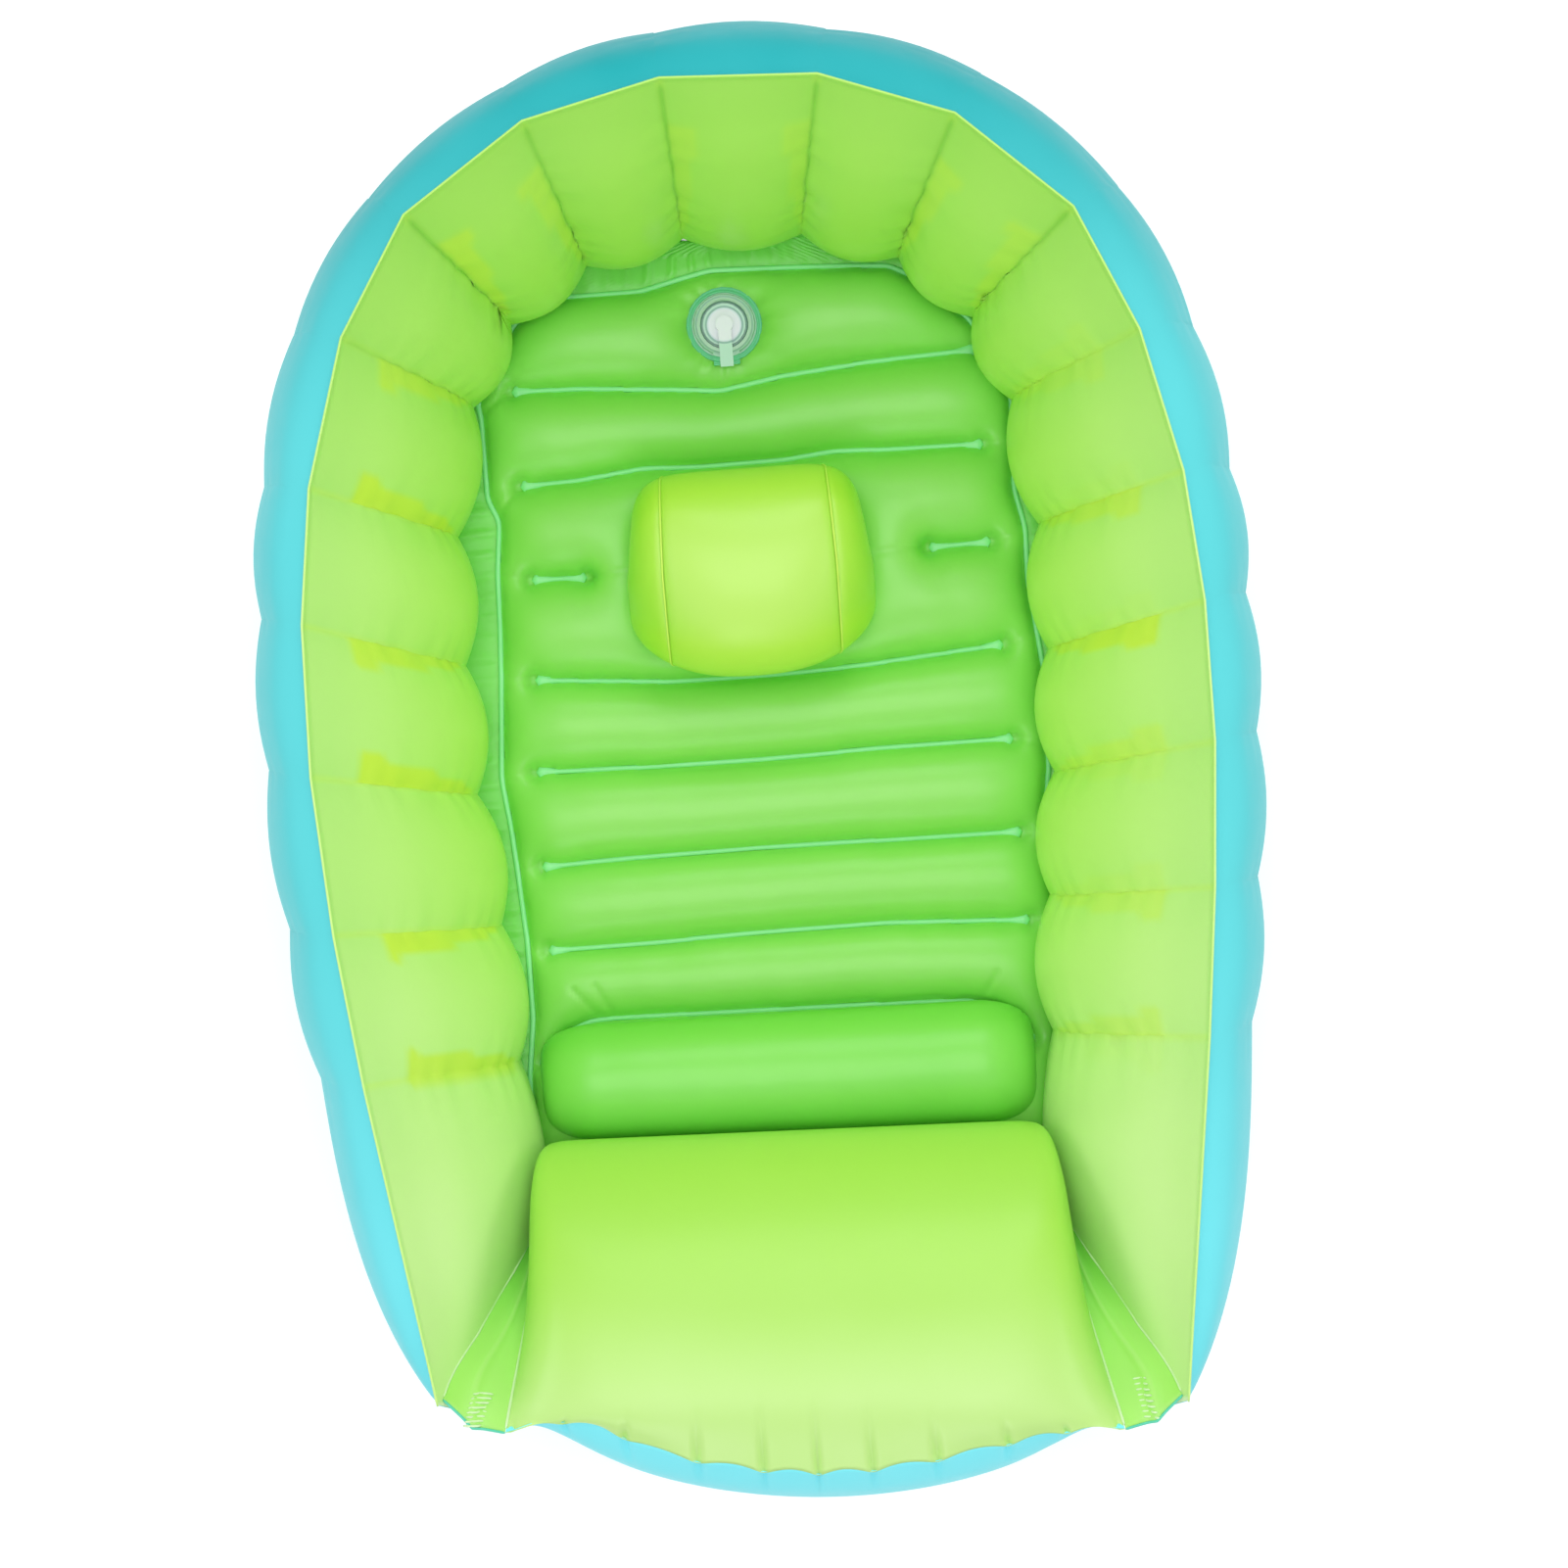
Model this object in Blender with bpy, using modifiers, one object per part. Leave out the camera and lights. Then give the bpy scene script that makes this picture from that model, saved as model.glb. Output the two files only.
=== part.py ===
"""Inflatable baby bathtub that folds flat when its air is let out.

Metres, +Z up. The origin is on the ground under the middle of the tub, +X runs across it and
+Y points at the round foot end. A ring-shaped air wall of nineteen lobes opens at the rear,
where a wedge backrest closes the tub. Between them lie a ribbed air floor, a saddle cushion,
a seat bolster, a drain and two push-in air valves.
"""

import math

import bpy
import numpy as np
from mathutils import Matrix, Vector

# Film and welds
SKIN = 0.0004
WELD_GAP = 0.0003
RIM_FIN = 0.005
MERGE = 0.00001

# Rim seam of the air wall, seen from above
RIM_HALF_WIDTH = 0.280
HEAD_REACH = 0.428
END_NARROWING = 0.0424
END_REACH = 0.4045
RIM_HEIGHT = 0.275
RIM_CORNER_SHARES = [
    (0.175, 1.000), (0.479, 0.942), (0.743, 0.808), (0.880, 0.629), (0.964, 0.418),
    (0.996, 0.225), (1.000, 0.012), (0.979, -0.210), (0.946, -0.432),
]
RIM_HEIGHT_SHARES = [1.0, 1.0, 0.995, 0.985, 0.975, 0.965, 0.955, 0.935, 0.90]
END_HEIGHT_SHARE = 0.78
LOBE_CREEP = 0.017
CREEP_SHARES = [1.0, 1.0, 1.0, 1.0, 0.9, 0.8, 0.6, 0.35, 0.0]
CREEP_ROUND_SHARE = 0.15

# The rear lies a little askew, as in the photograph: its right side reaches further back
REAR_SKEW = 0.0168
SKEW_START = 0.100

# Wall thickness: from the rim seam in to the creases, and out to the blue skin
SIDE_DEPTH = 0.082
HEAD_DEPTH = 0.064
CREASE_SHARES = [
    (0.205, 1.000), (0.540, 0.955), (0.803, 0.844), (0.929, 0.685), (1.000, 0.446),
    (1.000, 0.210), (0.995, -0.025), (0.947, -0.262), (0.924, -0.515),
]
SIDE_SWELL = 0.042
LEFT_SWELL_SHARES = [1.24, 1.13, 1.07, 1.13, 1.07, 1.0, 1.0, 1.0, 0.96]
RIGHT_SWELL_SHARES = [1.24, 1.24, 1.18, 1.17, 1.05, 0.98, 0.98, 0.98, 0.96]
INNER_BULGE = 0.013
OUTER_BULGE = 0.0065
END_SEAM_IN = 0.022
END_SEAM_BACK = 0.024
END_LEAN_SHARES = ((0.0, 0.70, 1.0), (1.0, 0.55, 0.0))
END_BELLY_SHARE = 1.33
END_SWELL_SHARE = 0.20
LOBE_STEPS_IN = 4
LOBE_STEPS_OUT = 3
END_LOBE_STEPS = 5

# Rows of the wall's section. Each is (swell share, depth share, height share, bulge share, height
# share at the end seam). The bottom seam's row comes after the last one.
INNER_ROW_SHARES = [
    (0, 0.00, 1.00, 0.0, 1.00), (0, 0.20, 0.86, 0.35, 0.88), (0, 0.52, 0.68, 0.75, 0.70),
    (0, 0.83, 0.47, 1.0, 0.50), (0, 1.00, 0.29, 1.0, 0.30), (0, 1.00, 0.15, 0.7, 0.12),
]
OUTER_ROW_SHARES = [
    (0.00, 0.00, 1.00, 0.0, 1.00), (0.50, 0.00, 0.90, 0.6, 0.90), (0.88, 0.00, 0.68, 1.0, 0.70),
    (1.00, 0.00, 0.46, 1.0, 0.45), (0.84, 0.00, 0.20, 0.8, 0.20), (0.42, 0.00, 0.05, 0.3, 0.09),
    (0.00, 0.12, 0.00, 0.0, 0.06), (0.00, 0.67, 0.00, 0.0, 0.03),
]
SEAM_DEPTH_SHARE = 0.93

# Baffle sheets across the wall, welded to the creases from the first to the last of these rows
BAFFLE_ROWS = (1, 5)
BAFFLE_CLEARANCE = 0.0006

# Air floor
FLOOR_WELD_HEIGHT = 0.024
FLANGE_WIDTH = 0.020
SEAM_CLEARANCE = 0.0009
PASSAGE_WIDTH = 0.018
PASSAGE_RISE = 0.007
CELL_RISE = 0.024
CELL_DROP = 0.0225
HEAD_FLANGE_WIDTH = 0.02265
BACKREST_BAY = 0.1425
RIB_SHARES = (0.883, 0.780, 0.552, 0.446, 0.339, 0.243, 0.160)
SHORT_RIB_SHARE = 0.669
CELL_STEP_SHARES = (0.18, 0.5, 0.82)
FLOOR_COLUMN_SHARES = (0.68, 0.34)
PASSAGE_SWELL_SHARE = 0.62
SADDLE_SEAT_RISE = 0.016
TAIL_DROP = 0.020

# Drain through both floor sheets
DRAIN_X = -0.005
DRAIN_SETBACK = 0.038
DRAIN_SEAT_RISE = 0.006
DRAIN_SEAT_DROP = 0.016
DRAIN_FLANGE_RADIUS = 0.026
DRAIN_RING_RADIUS = 0.0215
DRAIN_BORE_RADIUS = 0.0122
DRAIN_WALL = 0.0018
DRAIN_FLANGE_THICKNESS = 0.001
DRAIN_RING_HEIGHT = 0.0045
DRAIN_FOOT_RADIUS = 0.019
PLUG_CLEARANCE = 0.0004
PLUG_TAPER = 0.0022
PLUG_LENGTH = 0.009
PLUG_HEAD_RADIUS = 0.0146
PLUG_HEAD_THICKNESS = 0.0014
PLUG_KNOB_RADIUS = 0.006
PLUG_STRAP_WIDTH = 0.009
PLUG_STRAP_THICKNESS = 0.0012
DRAIN_RING_CLEARANCE = 0.0012
TAB_WIDTH = 0.018
TAB_CLEARANCE = 0.0013
TAB_REACH = 0.029

# Saddle cushion between the baby's legs
SADDLE_SETBACK = 0.008
SADDLE_HALF_WIDTH = 0.084
SADDLE_OVERHANG = 0.002
SADDLE_HEIGHT = 0.083
SADDLE_SEAM_X = 0.058
SADDLE_WAIST_SHARE = 0.86
SADDLE_TAPER_SHARE = 0.10
SADDLE_FOOT_ANGLE = math.radians(34)
SADDLE_TURNS = 10
SADDLE_ROUND_POWERS = (3.4, 2.2)
SADDLE_END_SHARES = (0.30, 0.02)
SADDLE_PANEL_SHARES = (0.0, 0.45, 0.80, 0.95, 1.0)

# Seat bolster in front of the backrest
BOLSTER_SIDE_MARGIN = 0.029
BOLSTER_FRONT_MARGIN = 0.001
BOLSTER_REAR_MARGIN = 0.014
BOLSTER_HEIGHT = 0.060
BOLSTER_CORNER = 0.040
BOLSTER_FOOT_ANGLE = math.radians(20)
BOLSTER_TURNS = 8
BOLSTER_BODY_SHARES = (0.0, 0.33, 0.66, 1.0)
BOLSTER_END_SHARES = (0.35, 0.02)
BOLSTER_END_TURNS = 4
BOLSTER_ROUND_POWER = 0.75

# Backrest
BACK_SIDE_MARGIN = 0.035
BACK_TOP_MARGIN = 0.0406
BACK_SEAM_SETBACK = 0.0195
BACK_SEAM_DROP = 0.0095
BACK_SEAM_BOW = 0.029
BACK_SEAM_DIP = 0.0105
BACK_DIP_SHARE = -0.76
BACK_DIP_WIDTH_SHARE = 0.18
BACK_DIP_POWER = 3
BACK_FRONT_OVERHANG = 0.021
BACK_CREST_RISE = 0.010
BACK_REAR_BULGE = 0.0322
BACK_REAR_BOW = 0.045
BACK_PUCKERS = 10
PUCKER_DEPTH = 0.004
BACK_COLUMNS = 24
BACK_REAR_POWER = 8
BACK_CHEEK = 0.006
BACK_EDGE_GAP = 0.0012
# Middle of the front film: (share of the overhang, share of the reach behind it, height share)
BACK_FRONT_SHARES = [
    (0.62, 0.0, 0.27), (1.0, 0.0, 0.46), (1.0, 0.09, 0.62), (1.0, 0.28, 0.79), (1.0, 0.50, 0.91),
    (1.0, 0.72, 0.98), (1.0, 0.90, 1.0),
]
# How square each of those rows is at its ends, and how far it swells past the side seam
BACK_FRONT_POWERS = (12, 26, 26, 16, 9, 6, 5)
BACK_CHEEK_SHARES = (0.4, 1.0, 0.9, 0.4, 0.1, 0.0, 0.0)
# Middle of the back film: (share of the reach, share of the rear bulge, height share)
BACK_REAR_SHARES = [
    (0.08, 0.0, 0.023), (0.30, 0.0, 0.0), (0.60, 0.0, 0.0), (0.95, 0.0, 0.0), (1.0, 0.70, 0.15),
    (1.0, 1.0, 0.46), (1.0, 0.62, 0.78),
]

# Corner gussets between the wall ends and the backrest
GUSSET_START_SHARE = 0.10
GUSSET_STEPS = 6
GUSSET_CHANNEL = 0.005
GUSSET_CLEARANCE = 0.0020
GUSSET_FLAP = 0.008
GUSSET_FLAP_POWER = 14

# Air valves
VALVE_FLANGE_RADIUS = 0.016
VALVE_FLANGE_THICKNESS = 0.0012
VALVE_STEM_RADIUS = 0.0075
VALVE_STEM_WALL = 0.0016
VALVE_STEM_OUT = 0.005
VALVE_STEM_IN = 0.017
VALVE_LIP_RADIUS = 0.0095
VALVE_LIP_THICKNESS = 0.0014
SLIDE_CLEARANCE = 0.0003
CAP_RADIUS = 0.0088
CAP_THICKNESS = 0.0016
CAP_PLUG_LENGTH = 0.0035
CAP_PLUG_TAPER = 0.0012
CAP_TETHER_WIDTH = 0.006
CAP_TETHER_THICKNESS = 0.0010
CAP_EAR_CLEARANCE = 0.0011
FLAP_THICKNESS = 0.0006
WALL_VALVE_SHARE = 0.45
WALL_VALVE_HEIGHT_SHARE = 0.30
WALL_VALVE_ROWS = 5
BACK_VALVE_SHARE = 0.20
BACK_VALVE_HEIGHT_SHARE = 0.27
BACK_VALVE_ROWS = 4
ROUND_STEPS = 24

# Colours of the films and mouldings, as red, green and blue
BLUE = (0.10, 0.62, 0.66)
LIME = (0.45, 0.80, 0.12)
GREEN = (0.16, 0.70, 0.14)
TEAL = (0.10, 0.62, 0.36)
CLEAR = (0.62, 0.74, 0.76)
FILM_ROUGHNESS = 0.38


def clear_scene():
    for old in list(bpy.data.objects):
        bpy.data.objects.remove(old, do_unlink=True)


def collection(name):
    made = bpy.data.collections.new(name)
    bpy.context.scene.collection.children.link(made)
    return made


def film(name, colour, roughness=FILM_ROUGHNESS):
    """One plain plastic material for one piece."""
    made = bpy.data.materials.new(name)
    made.use_nodes = True
    shader = made.node_tree.nodes["Principled BSDF"]
    shader.inputs["Base Color"].default_value = (*colour, 1.0)
    shader.inputs["Roughness"].default_value = roughness
    shader.inputs["Metallic"].default_value = 0.0
    return made


def add_object(name, mesh, colour, home):
    made = bpy.data.objects.new(name, mesh)
    made.data.materials.append(film(name, colour))
    home.objects.link(made)
    return made


def lerp(a, b, t):
    return a + (b - a) * t


def unit(vector):
    vector = np.asarray(vector, float)
    return vector / np.linalg.norm(vector)


def grid_faces(rows, columns, flip):
    corner = np.arange((rows - 1) * columns).reshape(rows - 1, columns)[:, :-1].ravel()
    quads = np.stack([corner, corner + 1, corner + columns + 1, corner + columns], axis=1)
    return quads[:, ::-1] if flip else quads


def askew(points):
    """Moves points behind the skew's start along y, forward on the left and back on the right."""
    points = np.array(points, float)
    back = np.clip((-points[..., 1] - SKEW_START) / (END_REACH - SKEW_START), 0, 1)
    side = np.clip(points[..., 0] / (RIM_HALF_WIDTH - END_NARROWING), -1, 1)
    points[..., 1] -= REAR_SKEW * back * side
    return points


def sheet(name, grid, colour, home, flip=False, thickness=SKIN):
    """A film: an open grid of points, thickened on the side that its faces point to."""
    rows, columns = grid.shape[:2]
    mesh = bpy.data.meshes.new(name)
    points = askew(grid).reshape(-1, 3)
    mesh.from_pydata(points.tolist(), [], grid_faces(rows, columns, flip).tolist())
    made = add_object(name, mesh, colour, home)
    wall = made.modifiers.new("film", "SOLIDIFY")
    wall.thickness = thickness
    wall.offset = 1.0
    wall.use_even_offset = True
    mesh.shade_smooth()
    return made


def turned(name, profile, colour, home):
    """A round piece about its own Z. The profile is (radius, height) points, down its outer side."""
    mesh = bpy.data.meshes.new(name)
    count = len(profile)
    closed = min(radius for radius, _ in profile) > 0
    edges = [(i, i + 1) for i in range(count - 1)] + ([(count - 1, 0)] if closed else [])
    mesh.from_pydata([(radius, 0, height) for radius, height in profile], edges, [])
    made = add_object(name, mesh, colour, home)
    spin = made.modifiers.new("turn", "SCREW")
    spin.steps = spin.render_steps = ROUND_STEPS
    spin.use_merge_vertices = True
    spin.merge_threshold = MERGE
    spin.use_smooth_shade = True
    return made


def block(name, size, centre, home):
    """A box of this size about this place, used as a strap or a cutter."""
    bpy.ops.mesh.primitive_cube_add(size=1)
    made = bpy.context.object
    made.name = made.data.name = name
    made.data.transform(Matrix.Translation(centre) @ Matrix.Diagonal((*size, 1)))
    for owner in list(made.users_collection):
        owner.objects.unlink(made)
    home.objects.link(made)
    return made


def round_cutter(name, radius, bottom, top, home):
    bpy.ops.mesh.primitive_cylinder_add(vertices=ROUND_STEPS, radius=radius, depth=top - bottom)
    made = bpy.context.object
    made.name = made.data.name = name
    made.data.transform(Matrix.Translation((0, 0, (top + bottom) / 2)))
    for owner in list(made.users_collection):
        owner.objects.unlink(made)
    home.objects.link(made)
    return made


def as_helper(made):
    made.hide_render = True
    made.display_type = "WIRE"
    return made


def combine(made, other, operation):
    as_helper(other)
    step = made.modifiers.new(operation.lower(), "BOOLEAN")
    step.operation = operation
    step.solver = "EXACT"
    step.object = other


# Air wall


def half_to_ring(values):
    """Values listed from the head to the rear of one side, run round the whole wall."""
    values = np.array(values, float)
    return np.concatenate([values[::-1], values])


def crept(shares, width, reach, step):
    """A ring of corners, moved round its own outline: clockwise, seen from above."""
    ring = half_to_ring(shares) * (width, reach)
    ring[:len(shares), 0] *= -1
    ahead = np.concatenate([ring[1:], [(END_HALF_WIDTH, -END_REACH)]]) - ring
    length = np.linalg.norm(ahead, axis=1, keepdims=True)
    along = half_to_ring(CREEP_SHARES)[:, None] * step / length
    outward = np.stack([-ahead[:, 1], ahead[:, 0]], axis=1)
    return ring + ahead * along + outward * CREEP_ROUND_SHARE * along * (1 - along)


SIDES = len(RIM_CORNER_SHARES)
LAST = 2 * SIDES - 1
END_HALF_WIDTH = RIM_HALF_WIDTH - END_NARROWING
INNER_HALF_WIDTH = RIM_HALF_WIDTH - SIDE_DEPTH
RIM = crept(RIM_CORNER_SHARES, RIM_HALF_WIDTH, HEAD_REACH, LOBE_CREEP)
CREASE = crept(CREASE_SHARES, INNER_HALF_WIDTH, HEAD_REACH - HEAD_DEPTH,
               LOBE_CREEP * INNER_HALF_WIDTH / RIM_HALF_WIDTH)
HEIGHT = half_to_ring(RIM_HEIGHT_SHARES) * RIM_HEIGHT
SWELL = np.array([*LEFT_SWELL_SHARES[::-1], *RIGHT_SWELL_SHARES]) * SIDE_SWELL
DEPTH = np.linalg.norm(RIM - CREASE, axis=1)
OUTWARD = (RIM - CREASE) / DEPTH[:, None]
END_HEIGHT = END_HEIGHT_SHARE * RIM_HEIGHT
FLANGE_STACK = WELD_GAP / 2 + 2 * SKIN


def section_rows(side):
    """The section's rows for the inner (-1) or outer (1) skin, down to the bottom seam."""
    rows = INNER_ROW_SHARES if side < 0 else OUTER_ROW_SHARES
    return [*rows, (0, SEAM_DEPTH_SHARE, None, 0, 0)]


def row_height(side, height_share, rim_height):
    if height_share is None:
        return FLOOR_WELD_HEIGHT - side * FLANGE_STACK
    return max(height_share * rim_height, SKIN)


def crease_row(side, row, i):
    """Where a section row crosses baffle i."""
    swell_share, depth_share, height_share, _, _ = row
    out = swell_share * SWELL[i] - depth_share * DEPTH[i] + side * WELD_GAP / 2
    plan = RIM[i] + OUTWARD[i] * out
    return np.array([*plan, row_height(side, height_share, HEIGHT[i])])


def end_lobe_row(side, row, t, sign):
    """A section row in the long rear lobe, which runs from the last baffle (t=0) to the end seam."""
    swell_share, depth_share, height_share, _, end_share = row
    rim_end = np.array([END_HALF_WIDTH, -END_REACH])
    lean = np.interp(end_share, *END_LEAN_SHARES)
    seam_shift = np.array([-END_SEAM_IN, -END_SEAM_BACK]) * lean
    base = lerp(RIM[LAST], rim_end + seam_shift, t)
    rim_line = rim_end - RIM[LAST]
    normal = unit(lerp(OUTWARD[LAST], unit((-rim_line[1], rim_line[0])), t))
    full = math.sqrt(1 - t**4)
    belly = (1 - t) * (1 + END_BELLY_SHARE * t)
    cheek = full + END_SWELL_SHARE * 4 * t * (1 - t)
    out = swell_share * SWELL[LAST] * cheek - depth_share * DEPTH[LAST] * belly
    plan = base + normal * (out + side * WELD_GAP / 2)
    local_height = lerp(HEIGHT[LAST], END_HEIGHT, t)
    seam_height = FLOOR_WELD_HEIGHT - side * FLANGE_STACK
    end_height = lerp(seam_height, END_HEIGHT, end_share)
    height = lerp(row_height(side, height_share, local_height), end_height, 1 - full)
    return np.array([sign * plan[0], plan[1], height])


def lobe_row(side, row, i, t):
    """A section row between baffles i and i+1: a straight chord with a round bulge."""
    start, end = crease_row(side, row, i), crease_row(side, row, i + 1)
    chord = end - start
    normal = unit((-chord[1], chord[0], 0))
    bulge = INNER_BULGE if side < 0 else OUTER_BULGE
    sagitta = row[3] * bulge * 4 * t * (1 - t)
    return lerp(start, end, t) + normal * side * sagitta


def wall_grid(side, steps):
    """All points of one wall skin, one column for each place. The outer skin has the rim's fin."""
    end_ts = [k / END_LOBE_STEPS for k in range(1, END_LOBE_STEPS + 1)]
    columns = []
    rows = section_rows(side)
    for t in reversed(end_ts):
        columns.append([end_lobe_row(side, row, t, -1) for row in rows])
    for i in range(len(RIM) - 1):
        for k in range(steps):
            columns.append([lobe_row(side, row, i, k / steps) for row in rows])
    columns.append([crease_row(side, row, len(RIM) - 1) for row in rows])
    for t in end_ts:
        columns.append([end_lobe_row(side, row, t, 1) for row in rows])
    grid = np.array(columns).transpose(1, 0, 2)
    if side < 0:
        return grid
    fin = grid[:1] + (0, 0, RIM_FIN)
    return np.concatenate([fin, grid])


def baffle_grid(i):
    """The sheet between the two skins at baffle i, a little short of both."""
    across = np.array([*OUTWARD[i], 0.0])
    along = np.array([-OUTWARD[i][1], OUTWARD[i][0], 0.0])
    first, last = BAFFLE_ROWS
    rows = []
    for inner, outer in zip(section_rows(-1)[first:last + 1], section_rows(1)[first:last + 1]):
        start = crease_row(-1, inner, i) + across * BAFFLE_CLEARANCE
        end = crease_row(1, outer, i) - across * BAFFLE_CLEARANCE
        rows.append([start, end])
    return np.array(rows) - along * SKIN / 2


def build_wall(home):
    sheet("wall_inner_skin", wall_grid(-1, LOBE_STEPS_IN), LIME, home, flip=True)
    for i in range(len(RIM)):
        sheet(f"wall_baffle_{i + 1:02d}", baffle_grid(i), TEAL, home)
    return sheet("wall_outer_skin", wall_grid(1, LOBE_STEPS_OUT), BLUE, home)


# Air floor


def seam_plan(sign):
    """Plan points of the wall's bottom seam on one side, from the rear end to the head."""
    row = section_rows(-1)[-1]
    rear = [end_lobe_row(-1, row, k / END_LOBE_STEPS, sign)[:2] for k in range(END_LOBE_STEPS, 0, -1)]
    order = range(LAST, SIDES - 1, -1) if sign > 0 else range(SIDES)
    return np.array(rear + [crease_row(-1, row, i)[:2] for i in order])


LEFT_SEAM, RIGHT_SEAM = seam_plan(-1), seam_plan(1)
FLOOR_HEAD_Y = min(LEFT_SEAM[-1][1], RIGHT_SEAM[-1][1]) - SEAM_CLEARANCE
HEAD_WELD_Y = FLOOR_HEAD_Y - HEAD_FLANGE_WIDTH
FLOOR_END_Y = BACKREST_BAY - END_REACH


def floor_place(share):
    return lerp(FLOOR_END_Y, HEAD_WELD_Y, share)


RIB_YS = [floor_place(share) for share in RIB_SHARES]
SHORT_RIB_Y = floor_place(SHORT_RIB_SHARE)
DRAIN_Y = HEAD_WELD_Y - DRAIN_SETBACK


def floor_edge(y, seam):
    """Edge of the floor sheets at this y, just inside one side of the wall's bottom seam."""
    x = float(np.interp(y, seam[:, 1], seam[:, 0]))
    return x - math.copysign(SEAM_CLEARANCE, x)


def floor_rows():
    """(y, cell share, short rib) for each row of the floor, from the rear edge to the head."""
    lines = sorted([HEAD_WELD_Y, *RIB_YS, SHORT_RIB_Y])
    rows = [(FLOOR_END_Y, 0.0, False), ((FLOOR_END_Y + lines[0]) / 2, 0.0, False)]
    for start, end in zip(lines, lines[1:]):
        rows.append((start, 1.0 if start == SHORT_RIB_Y else 0.0, start == SHORT_RIB_Y))
        for share in CELL_STEP_SHARES:
            swell = math.sqrt(1 - (2 * share - 1) ** 2)
            if SHORT_RIB_Y in (start, end):
                toward = share if end == SHORT_RIB_Y else 1 - share
                swell = math.sqrt(1 - (1 - toward) ** 2)
            rows.append((lerp(start, end, share), swell, False))
    return rows + [(HEAD_WELD_Y, 0.0, False), (FLOOR_HEAD_Y, 0.0, False)]


def floor_columns(edge):
    """x of one half's columns, from the edge in: flange, weld, passage, rib end and the rib's own."""
    weld = edge - math.copysign(FLANGE_WIDTH, edge)
    rib_end = weld - math.copysign(PASSAGE_WIDTH, edge)
    return [edge, weld, (weld + rib_end) / 2, rib_end, *(share * rib_end for share in FLOOR_COLUMN_SHARES)]


def floor_rise(up, place, y, swell, short_rib):
    """How far a floor sheet stands off the weld's height, in column `place` counted from the edge."""
    rise = (CELL_RISE if up > 0 else CELL_DROP) * swell
    if place <= 1:
        return 0.0
    if up < 0 and FLOOR_END_Y < y < min(RIB_YS):
        return TAIL_DROP
    if RIB_YS[0] < y < HEAD_WELD_Y and place >= 5:
        return DRAIN_SEAT_RISE if up > 0 else DRAIN_SEAT_DROP
    if place == 2:
        open_here = min(RIB_YS) < y < HEAD_WELD_Y
        return max(rise * PASSAGE_SWELL_SHARE, PASSAGE_RISE if open_here else 0.0)
    if up > 0 and short_rib and place in (3, 4):
        return 0.0
    if up > 0 and RIB_YS[2] < y < RIB_YS[1] and place >= 4:
        return min(rise, SADDLE_SEAT_RISE)
    return rise


def floor_grid(up):
    """One floor sheet. up is 1 for the upper sheet and -1 for the lower one."""
    grid = []
    for y, swell, short_rib in floor_rows():
        left = floor_columns(floor_edge(y, LEFT_SEAM))
        right = floor_columns(floor_edge(y, RIGHT_SEAM))
        xs = left + [0.0] + right[::-1]
        places = [*range(len(left)), len(left), *reversed(range(len(right)))]
        grid.append([
            (x, y, FLOOR_WELD_HEIGHT + up * (floor_rise(up, place, y, swell, short_rib) + WELD_GAP / 2))
            for x, place in zip(xs, places)])
    return np.array(grid)


def build_floor(home, cutters):
    upper = sheet("floor_upper_skin", floor_grid(1), GREEN, home)
    lower = sheet("floor_lower_skin", floor_grid(-1), GREEN, home, flip=True)
    hole = round_cutter("drain_hole", DRAIN_BORE_RADIUS + DRAIN_WALL + WELD_GAP, 0,
                        FLOOR_WELD_HEIGHT + CELL_RISE, cutters)
    hole.location = (DRAIN_X, DRAIN_Y, 0)
    combine(upper, hole, "DIFFERENCE")
    combine(lower, hole, "DIFFERENCE")


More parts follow.
